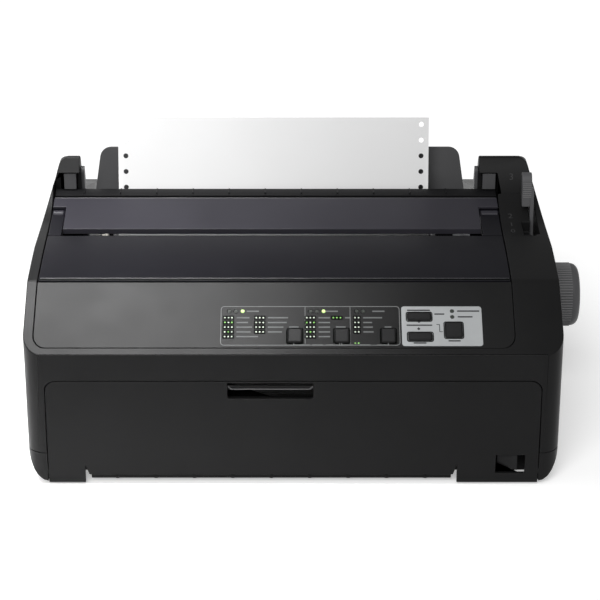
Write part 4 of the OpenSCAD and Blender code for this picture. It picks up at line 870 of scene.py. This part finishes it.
class PRINTER_OT_control_panel(PieceOperator, bpy.types.Operator):
    """Control panel with its silver plate, buttons, lamps and plain printing"""
    bl_idname = "printer.control_panel"
    bl_label = "Control panel"

    # Everything on the panel is given as (across, along the slope) in millimetres. Outline box first
    FRAME = (-53.4, 9.1, 78.4, 42.3)
    FRAME_CORNER = 2.4
    # Dividers in it, and how far they end from its lower and upper line
    DIVIDERS = (8.7, 42.0)
    DIVIDER_ENDS = (1.2, 0.3)
    BRACKETS = (((0.3, 11.4), (0.3, 9.2), (12.2, 9.2)), ((23.5, 9.2), (34.0, 9.2), (34.0, 11.4)),
                ((35.5, 11.4), (35.5, 9.2), (43.8, 9.2)), ((61.4, 9.2), (69.7, 9.2), (69.7, 11.4)))
    # Widths of dividers and brackets, as shares of the outline's
    DIVIDER_SHARE = 0.8
    BRACKET_SHARE = 1.5
    ROWS = (32.6, 28.5, 24.5, 20.4, 16.4)
    # Tables of dots: left dot, number of dots and of rows, length of the mark beside each row
    TABLES = ((-50.5, 3, 5, (9.5, 8.5, 11.5, 10.5, 16.0)), (-27.4, 3, 4, (15.0, 14.0, 11.5, 10.5)),
              (10.0, 3, 5, (8.5, 8.5, 8.5, 8.5, 8.5)), (29.6, 3, 1, (3.6,)),
              (45.6, 2, 4, (14.0, 6.5, 7.0, 7.5)))
    DOT_STEP = 2.6
    SINGLE_DOTS = ((45.5, 10.8), (48.0, 10.8))
    # Ground of a row: its reach past the dots' middles across and along, and its corners
    GROUND = (1.7, 1.75, 0.8)
    # Lamps in the panel's row, of which the dark ones lie deeper, and on the plate
    LIT = (-37.5, 22.4)
    DARK = (-47.3, -42.6, 12.7, 17.5, 47.0, 51.7)
    LAMP_ROW = 38.2
    LAMP_HEIGHT = 0.8
    DARK_SUNK = 0.25
    PLATE_LAMPS = ((117.5, 38.2), (117.5, 33.2))
    # Marks that stand where words do: the gap from a table, height, and middle and length of the rest
    MARK_GAP = 3.4
    MARK_HIGH = 1.1
    MARKS = ((-30.0, LAMP_ROW, 9.0), (28.5, LAMP_ROW, 9.0), (63.0, LAMP_ROW, 9.0), (0.4, 24.6, 7.0),
             (35.0, 24.6, 7.0), (69.8, 24.6, 5.0), (17.9, 9.2, 8.0), (52.6, 9.2, 8.0))
    # Thickness of the films: outline and grounds, brackets, and the rest; thickness and middle of a dot
    LINE_FILM = 0.05
    BRACKET_FILM = 0.07
    FILM = 0.06
    DOT_HIGH = 0.1
    DOT_MIDDLE = 0.09
    # Keys on the silver plate and on the panel: middle, width and length; their edges, and the rings of
    # painted shade in the gaps round them
    PLATE_KEYS = ((93.0, 33.3, 17.2, 6.2), (93.4, 16.1, 17.2, 6.2), (118.2, 21.7, 12.4, 12.4))
    KEYS = ((1.1, 16.8, 10.3, 11.5), (35.6, 16.8, 10.3, 11.5), (70.0, 16.8, 10.3, 11.5))
    KEY_EDGE = 0.6
    KEY_GAP = 0.5
    SHADE_RING = 0.8
    SHADE_RING_CORNER = 1.5
    # The silver plate: height of its face, corners, edge, and what is printed on it
    PLATE_TOP = 0.28
    PLATE_CORNER = 2.2
    PLATE_EDGE = 0.1
    PLATE_MARKS = ((92.7, 38.9, 17.0), (93.0, 26.0, 19.0), (93.0, 10.8, 9.5), (118.4, 12.6, 9.0),
                   (129.5, 38.2, 16.5), (127.0, 33.2, 11.0), (108.0, 35.6, 7.5))
    DIAMONDS = ((92.7, 29.1), (92.4, 22.9))
    DIAMOND_REACH = 1.3
    STEP = ((105.6, 26.6), (107.8, 26.6), (107.8, 20.4), (110.0, 20.4))
    STEP_WIDTH = 0.5

    def print_lines(self, controls):
        """Outline box, its dividers and the brackets under the keys."""
        width = controls.line_width / MM
        x0, y0, x1, y1 = self.FRAME
        outline = rounded_box(x0, y0, x1, y1, self.FRAME_CORNER)
        lines = [band("frame", outline, width, 0, self.LINE_FILM, closed=True)]
        below, above = self.DIVIDER_ENDS
        for x in self.DIVIDERS:
            ends = [(x, y0 + below), (x, y1 - above)]
            lines.append(band("divider", ends, width * self.DIVIDER_SHARE, 0, self.LINE_FILM))
        for points in self.BRACKETS:
            lines.append(band("bracket", points, width * self.BRACKET_SHARE, 0, self.BRACKET_FILM))
        print_on_panel("panel_lines", lines, "panel_ink")

    def print_marks(self):
        """Plain bars where a printer has words, in one piece for each length."""
        marks = []
        for left, dots, rows, lengths in self.TABLES:
            start = left + (dots - 1) * self.DOT_STEP + self.MARK_GAP
            marks += [(start + reach / 2, row, reach) for row, reach in zip(self.ROWS[:rows], lengths)]
        marks += self.MARKS
        for reach in sorted({mark[2] for mark in marks}):
            places = [(x, y, self.FILM / 2) for x, y, own in marks if own == reach]
            size = Vector((reach, self.MARK_HIGH, self.FILM)) * MM
            grown("row_marks_%d" % round(reach * 10), bars, places, "panel", "label_ink",
                  {"Size": tuple(size)}, panel_matrix())

    def is_green(self, dots, rows, row, dot):
        """All the dots of a single row are green, and one in four of a table of five rows."""
        return rows == 1 or rows != 4 and (row + 2 * dot + dots) % 4 == 0

    def print_tables(self, controls):
        """Dark grounds of the tables, with white and green dots on them that glow faintly as painted light.
        """
        grounds, white, green = [], [], []
        across, along, corner = self.GROUND
        for left, dots, rows, _ in self.TABLES:
            right = left + (dots - 1) * self.DOT_STEP
            for i, y in enumerate(self.ROWS[:rows]):
                box = rounded_box(left - across, y - along, right + across, y + along, corner)
                grounds.append(slab("ground", box, 0, self.LINE_FILM))
                for k in range(dots):
                    kind = green if self.is_green(dots, rows, i, k) else white
                    kind.append((left + k * self.DOT_STEP, y, self.DOT_MIDDLE))
        green += [(x, y, self.DOT_MIDDLE) for x, y in self.SINGLE_DOTS]
        print_on_panel("dot_tables", grounds, "dark_print_and_shade")
        size = {"Radius": controls.dot_radius, "Height": self.DOT_HIGH * MM}
        # The dots' faint glow is painted light
        grown("white_dots", round_studs, white, "panel", "table_dots_glow", size, panel_matrix())
        grown("green_dots_glow", round_studs, green, "panel", "green_dots_glow", size, panel_matrix())

    def shade_rings(self, name, keys, height):
        """Painted shade: dark rings round the openings that the keys stand in, where the gaps round the keys
        lie in shade.
        """
        out = self.KEY_GAP + self.SHADE_RING / 2
        shade_rings = []
        for x, y, w, l in keys:
            box = rounded_box(x - w / 2 - out, y - l / 2 - out, x + w / 2 + out, y + l / 2 + out,
                              self.SHADE_RING_CORNER)
            shade_rings.append(band("rim", box, self.SHADE_RING, height, height + self.FILM, closed=True))
        print_on_panel(name, shade_rings, "dark_print_and_shade")

    def round_corners(self, piece, radius):
        """Rounds the four outer corners of a plate that lies on the panel."""
        to_panel = panel_matrix().inverted()
        near = 0.05 * MM
        shape = bmesh.new()
        shape.from_mesh(piece.data)
        places = {vert: to_panel @ vert.co for vert in shape.verts}
        ends = [(min(p[i] for p in places.values()), max(p[i] for p in places.values())) for i in (0, 1)]
        tips = {vert for vert, p in places.items()
                if all(min(abs(p[i] - end) for end in ends[i]) < near for i in (0, 1))}
        edges = [e for e in shape.edges
                 if tips.issuperset(e.verts) and (places[e.verts[0]] - places[e.verts[1]]).xy.length < near]
        bmesh.ops.bevel(shape, geom=edges, offset=radius, segments=8, profile=0.5, affect="EDGES")
        shape.to_mesh(piece.data)
        shape.free()
        return piece

    def plate(self):
        """Silver plate, and the dark plain marks on it."""
        plate = self.round_corners(merged_copy("panel_overlay"), self.PLATE_CORNER * MM)
        settle(soften(plate, self.PLATE_EDGE * MM, 2), "panel_overlay")
        # Painted shade in the gaps round the plate's keys
        self.shade_rings("key_wells", self.PLATE_KEYS, self.PLATE_TOP)
        film = (self.PLATE_TOP, self.PLATE_TOP + self.FILM)
        d = self.DIAMOND_REACH
        ink = [slab("diamond", [(x - d, y), (x, y - d), (x + d, y), (x, y + d)], *film)
               for x, y in self.DIAMONDS]
        ink.append(band("step", self.STEP, self.STEP_WIDTH, *film))
        half = self.MARK_HIGH / 2
        for x, y, reach in self.PLATE_MARKS:
            box = rounded_box(x - reach / 2, y - half, x + reach / 2, y + half, 0.3, 2)
            ink.append(slab("mark", box, *film))
        print_on_panel("plate_marks", ink, "plate_ink", "silver_label")

    def lamps(self, controls):
        """Two lamps are lit, and the others are dark lenses."""
        size = {"Radius": controls.lamp_radius, "Height": self.LAMP_HEIGHT * MM}
        lit = [(x, self.LAMP_ROW, 0.0) for x in self.LIT]
        dark = [(x, self.LAMP_ROW, -self.DARK_SUNK) for x in self.DARK]
        on_plate = [(x, y, 0.0) for x, y in self.PLATE_LAMPS]
        for name, places, look, node in (("lit_lamps", lit, "indicator", "indicator_lights"),
                                         ("dark_lamps", dark, "dark_lamp", None),
                                         ("plate_lamps", on_plate, "dark_lamp", None)):
            grown(name, round_studs, places, "indicator", look, size, panel_matrix(), node=node)

    def execute(self, context):
        edge = context.scene.printer_edges
        controls = context.scene.printer_controls
        refine("control_panel", edge.small)
        self.plate()
        self.print_lines(controls)
        self.print_marks()
        self.print_tables(controls)
        for node in ("select_button_left", "select_button_right", "set_button",
                     "load_button", "feed_button", "pause_button"):
            refine(node, self.KEY_EDGE * MM, material="key_plastic")
        # Painted shade in the gaps round the panel's keys
        self.shade_rings("key_gaps", self.KEYS, 0.0)
        self.lamps(controls)
        return {"FINISHED"}


class PRINTER_OT_platen(PieceOperator, bpy.types.Operator):
    """Platen with its knob, shaft, bushes and gears"""
    bl_idname = "printer.platen"
    bl_label = "Platen and knob"

    # The knob: its two ends, radius, the rounding of its inner and outer edge, the hollow in its
    # outer end, and the flat sides that it is turned with
    KNOB = (204.0, 231.0)
    KNOB_R = 25.3
    INNER_ROUND = (2.4, 2.5)
    OUTER_ROUND = 6.0
    HOLLOW_R = (16.6, 15.9)
    HOLLOW_DEPTH = 0.7
    KNOB_SIDES = 144
    # Ribs round the knob, painted lighter than the knob as a painted highlight: radius, and how far they end
    # from the knob's two ends
    RIB_R = 0.62
    RIB_ENDS = (1.8, 6.7)

    def knob(self):
        """Knob turned from its outline, before its ribs."""
        low, high = self.KNOB
        round_x, round_r = self.INNER_ROUND
        wide, narrow = self.HOLLOW_R
        hollow = high - self.HOLLOW_DEPTH
        outline = [(low, 0.0), (low, self.KNOB_R - round_r)]
        outline += arc_points(low + round_x, self.KNOB_R - round_r, round_x, round_r, 180, 90, 4)
        outline += arc_points(high - self.OUTER_ROUND, self.KNOB_R - self.OUTER_ROUND,
                              self.OUTER_ROUND, self.OUTER_ROUND, 90, 0, 8)
        outline += [(high, wide), (hollow, narrow), (hollow, 0.0)]
        body = lathe("platen_knob_finished", outline, self.KNOB_SIDES)
        body.transform(pivot("platen_turn"))
        smooth_sides(body, 30.0)
        settle(new_piece("platen_knob_finished", body), "platen_knob")

    def ribs(self, count):
        """Ribs round the knob, on the platen's axis, painted lighter than the knob as a painted highlight.
        """
        start, end = self.KNOB[0] + self.RIB_ENDS[0], self.KNOB[1] - self.RIB_ENDS[1]
        middle = pivot("platen_turn") @ Matrix.Translation(Vector(((start + end) / 2, 0, 0)) * MM)
        grown("knob_ribs", ring_of_ribs, [], "grey_plastic", "ridge",
              {"Count": count, "Ring radius": self.KNOB_R * MM, "Rib radius": self.RIB_R * MM,
               "Rib length": (end - start) * MM}, middle, body=BODY_OF["platen_knob"])

    def execute(self, context):
        edge = context.scene.printer_edges
        for node in ("platen_roller", "platen_shaft", "platen_bushes", "platen_gear", "feed_pinion",
                     "idler_gear", "tractor_gear", "tractor_shaft"):
            refine(node, edge.small, 2)
        self.knob()
        self.ribs(context.scene.printer_controls.knob_ribs)
        return {"FINISHED"}


class PRINTER_OT_levers(PieceOperator, bpy.types.Operator):
    """Paper thickness lever with its grooved grip, and power switch"""
    bl_idname = "printer.levers"
    bl_label = "Levers and switch"

    # Lean of the lever about its axle, and the rounding of its edges
    LEAN = math.radians(-10.0)
    LEVER_EDGE = 0.7
    # The grip above the axle: its front, where it starts to bend back, how long the bend is and by
    # how much it goes back, in a straight and in a curved part
    GRIP_FRONT = -3.5
    BEND_START = 76.0
    BEND_LENGTH = 24.0
    BEND_BACK = (1.9, 6.0)
    # Ridges across the grip, painted lighter than the lever as a painted highlight: size, height of the
    # lowest, and step
    RIDGE = (6.8, 0.7, 0.55)
    RIDGE_START = 69.0
    RIDGE_STEP = 1.5

    def grip_point(self, up):
        """Point on the front of the grip at a height above the axle."""
        along = max(0.0, (up - self.BEND_START) / self.BEND_LENGTH)
        straight, curved = self.BEND_BACK
        return 0.0, self.GRIP_FRONT + straight * along + curved * along ** 2, up

    def execute(self, context):
        edge = context.scene.printer_edges
        refine("thickness_lever", self.LEVER_EDGE * MM)
        refine("power_rocker", edge.small, material="key_plastic")
        count = context.scene.printer_controls.lever_ridges
        places = [self.grip_point(self.RIDGE_START + self.RIDGE_STEP * i) for i in range(count)]
        # The ridges' lighter colour is a painted highlight
        grown("lever_ridges", bars, places, "grey_plastic", "ridge",
              {"Size": tuple(Vector(self.RIDGE) * MM)},
              pivot("thickness_set") @ Matrix.Rotation(self.LEAN, 4, "X"), body=BODY_OF["thickness_lever"])
        return {"FINISHED"}


class PRINTER_OT_paper(PieceOperator, bpy.types.Operator):
    """Continuous paper"""
    bl_idname = "printer.paper"
    bl_label = "Paper"

    def execute(self, context):
        piece = merged_copy("paper")
        smooth_sides(piece.data, 30.0)
        settle(piece, "paper")
        return {"FINISHED"}


class PRINTER_OT_mechanism(PieceOperator, bpy.types.Operator):
    """Rear screws, then every node that is left: mechanism, boards, frames, sockets and feet"""
    bl_idname = "printer.mechanism"
    bl_label = "Mechanism"

    # Screws in the rear wall: places across, back and up, and the size of their heads
    SCREWS_S = (-150, -52, 60, 150)
    SCREWS_U = 382.8
    SCREWS_Z = 33.0
    HEAD_R = 2.9
    HEAD_HEIGHT = 1.2
    # Edges inside, as a share of those of small pieces
    INNER_EDGE = 0.8

    def execute(self, context):
        edge = context.scene.printer_edges
        screws = [(s, self.SCREWS_U, self.SCREWS_Z) for s in self.SCREWS_S]
        grown("rear_screws", cross_screws, screws, "steel", "steel",
              {"Radius": self.HEAD_R * MM, "Height": self.HEAD_HEIGHT * MM},
              Matrix.Translation(at(0, 0, 0)), node="case_screws")
        done = {piece for o in bpy.data.objects for piece in o.get("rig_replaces", [])}
        for node in frame["nodes"]:
            if node not in done:
                refine(node, edge.small * self.INNER_EDGE, 2)
        return {"FINISHED"}


class PRINTER_OT_stage(PieceOperator, bpy.types.Operator):
    """Floor, world, lights and camera"""
    bl_idname = "printer.stage"
    bl_label = "Stage"

    # Half the floor's side, and how far it lies below the feet, in metres
    FLOOR_HALF = 30.0
    FLOOR_DROP = 0.0002
    # Soft boxes: place, the point that they face, width and height, all in metres, and spread
    UPPER_BOX = ((-0.32, -0.17, 0.72), (-0.32, -0.17, 0.1), 0.56, 0.36, 50)
    REAR_BOX = ((-0.7, 1.1, 0.62), (-0.15, 0.0, 0.14), 1.0, 0.6, 180)
    SUN_SIDE = (-0.3, -1.0, 1.0)
    SUN_ANGLE = 35

    def floor(self, stage):
        half = self.FLOOR_HALF
        mesh = bpy.data.meshes.new("floor")
        corners = [(-half, -half, 0), (half, -half, 0), (half, half, 0), (-half, half, 0)]
        mesh.from_pydata(corners, [], [(0, 1, 2, 3)])
        mesh.materials.append(floor_finish(stage.floor, stage.glow))
        plane = new_piece("floor", mesh)
        plane.location.z = -self.FLOOR_DROP

    def execute(self, context):
        scene = context.scene
        stage = scene.printer_stage
        scene.view_settings.view_transform = "Standard"
        self.floor(stage)
        make_world(scene, stage.world)
        area_light("upper_box", stage.upper, *self.UPPER_BOX)
        area_light("rear_box", stage.rear, *self.REAR_BOX)
        soft_sun("front_sun", stage.sun, self.SUN_SIDE, self.SUN_ANGLE)
        make_camera(scene)
        return {"FINISHED"}


def seen_directly(tree):
    """Factor that is 1 for camera, glossy and transmission rays."""
    rays = tree.nodes.new("ShaderNodeLightPath")
    total = rays.outputs["Is Camera Ray"]
    for kind in ("Is Glossy Ray", "Is Transmission Ray"):
        add = tree.nodes.new("ShaderNodeMath")
        add.operation = "MAXIMUM"
        tree.links.new(total, add.inputs[0])
        tree.links.new(rays.outputs[kind], add.inputs[1])
        total = add.outputs[0]
    return total


def floor_finish(base, shine):
    """Pale floor that stays white to the camera and keeps the object's shadow."""
    material = bpy.data.materials.new("floor")
    material.use_nodes = True
    tree = material.node_tree
    tree.nodes.clear()
    diffuse = tree.nodes.new("ShaderNodeBsdfDiffuse")
    diffuse.inputs["Color"].default_value = (*base, 1.0)
    glow = tree.nodes.new("ShaderNodeEmission")
    glow.inputs["Strength"].default_value = shine
    both = tree.nodes.new("ShaderNodeAddShader")
    pick = tree.nodes.new("ShaderNodeMixShader")
    end = tree.nodes.new("ShaderNodeOutputMaterial")
    tree.links.new(diffuse.outputs[0], both.inputs[0])
    tree.links.new(glow.outputs[0], both.inputs[1])
    tree.links.new(seen_directly(tree), pick.inputs[0])
    tree.links.new(diffuse.outputs[0], pick.inputs[1])
    tree.links.new(both.outputs[0], pick.inputs[2])
    tree.links.new(pick.outputs[0], end.inputs[0])
    return material


def make_world(scene, strength):
    """Even studio light all round."""
    world = bpy.data.worlds.new("studio")
    world.use_nodes = True
    background = world.node_tree.nodes["Background"]
    background.inputs["Color"].default_value = (1, 1, 1, 1)
    background.inputs["Strength"].default_value = strength
    scene.world = world


def area_light(name, power, place, target, width, height, spread):
    """Soft box, its light kept within an angle in degrees."""
    lamp = bpy.data.lights.new(name, "AREA")
    lamp.shape = "RECTANGLE"
    lamp.size = width
    lamp.size_y = height
    lamp.energy = power
    lamp.spread = math.radians(spread)
    holder = bpy.data.objects.new(name, lamp)
    holder.location = place
    holder.rotation_euler = (Vector(target) - Vector(place)).to_track_quat("-Z", "Y").to_euler()
    bpy.context.scene.collection.objects.link(holder)


def soft_sun(name, strength, side, angle):
    """Sun as wide as an angle in degrees, shining from the side that a vector points to."""
    lamp = bpy.data.lights.new(name, "SUN")
    lamp.energy = strength
    lamp.angle = math.radians(angle)
    holder = bpy.data.objects.new(name, lamp)
    holder.rotation_euler = Vector(side).to_track_quat("Z", "Y").to_euler()
    bpy.context.scene.collection.objects.link(holder)


# Camera of the photograph, fitted to the casing's edges: it looks down by its tilt, and stands
# in front of the casing's middle and above the floor by millimetres. Its focal length and the
# shift of its centre are in pixels of the photograph.
CAMERA_TILT = math.radians(22.5)
CAMERA_BACK = 1351.4
CAMERA_UP = 709.3
CAMERA_FOCAL_PX = 2025.0
IMAGE_PX = 600
CENTRE_LEFT_PX = 6.7
SENSOR_MM = 36.0


def make_camera(scene):
    """Camera at the photograph's viewing angle."""
    data = bpy.data.cameras.new("camera")
    data.sensor_width = SENSOR_MM
    data.lens = SENSOR_MM * CAMERA_FOCAL_PX / IMAGE_PX
    data.shift_x = CENTRE_LEFT_PX / IMAGE_PX
    camera = bpy.data.objects.new("camera", data)
    camera.location = at(0, -CAMERA_BACK, CAMERA_UP)
    camera.rotation_euler = Euler((math.pi / 2 - CAMERA_TILT, 0, 0))
    scene.collection.objects.link(camera)
    scene.camera = camera


OPERATORS = (PRINTER_OT_stage, PRINTER_OT_casing, PRINTER_OT_covers, PRINTER_OT_control_panel,
             PRINTER_OT_platen, PRINTER_OT_levers, PRINTER_OT_paper, PRINTER_OT_mechanism)


class PRINTER_PT_pieces(bpy.types.Panel):
    """Lists the pieces of the printer"""
    bl_idname = "PRINTER_PT_pieces"
    bl_label = "Printer"
    bl_space_type = "VIEW_3D"
    bl_region_type = "UI"
    bl_category = "Printer"

    def draw(self, context):
        for operator in OPERATORS:
            self.layout.operator(operator.bl_idname)
        for group in SETTINGS:
            box = self.layout.box()
            for key in SETTINGS[group].__annotations__:
                box.prop(getattr(context.scene, group), key)


SETTINGS = {"printer_finish": FinishSettings, "printer_edges": EdgeSettings,
            "printer_controls": ControlSettings, "printer_stage": StageSettings}
CLASSES = tuple(SETTINGS.values()) + OPERATORS + (PRINTER_PT_pieces,)


def register():
    for cls in CLASSES:
        bpy.utils.register_class(cls)
    for name, cls in SETTINGS.items():
        setattr(bpy.types.Scene, name, PointerProperty(type=cls))


def unregister():
    for name in SETTINGS:
        delattr(bpy.types.Scene, name)
    for cls in reversed(CLASSES):
        bpy.utils.unregister_class(cls)


def main():
    register()
    for operator in OPERATORS:
        group, name = operator.bl_idname.split(".")
        getattr(getattr(bpy.ops, group), name)()


if __name__ == "__main__":
    main()
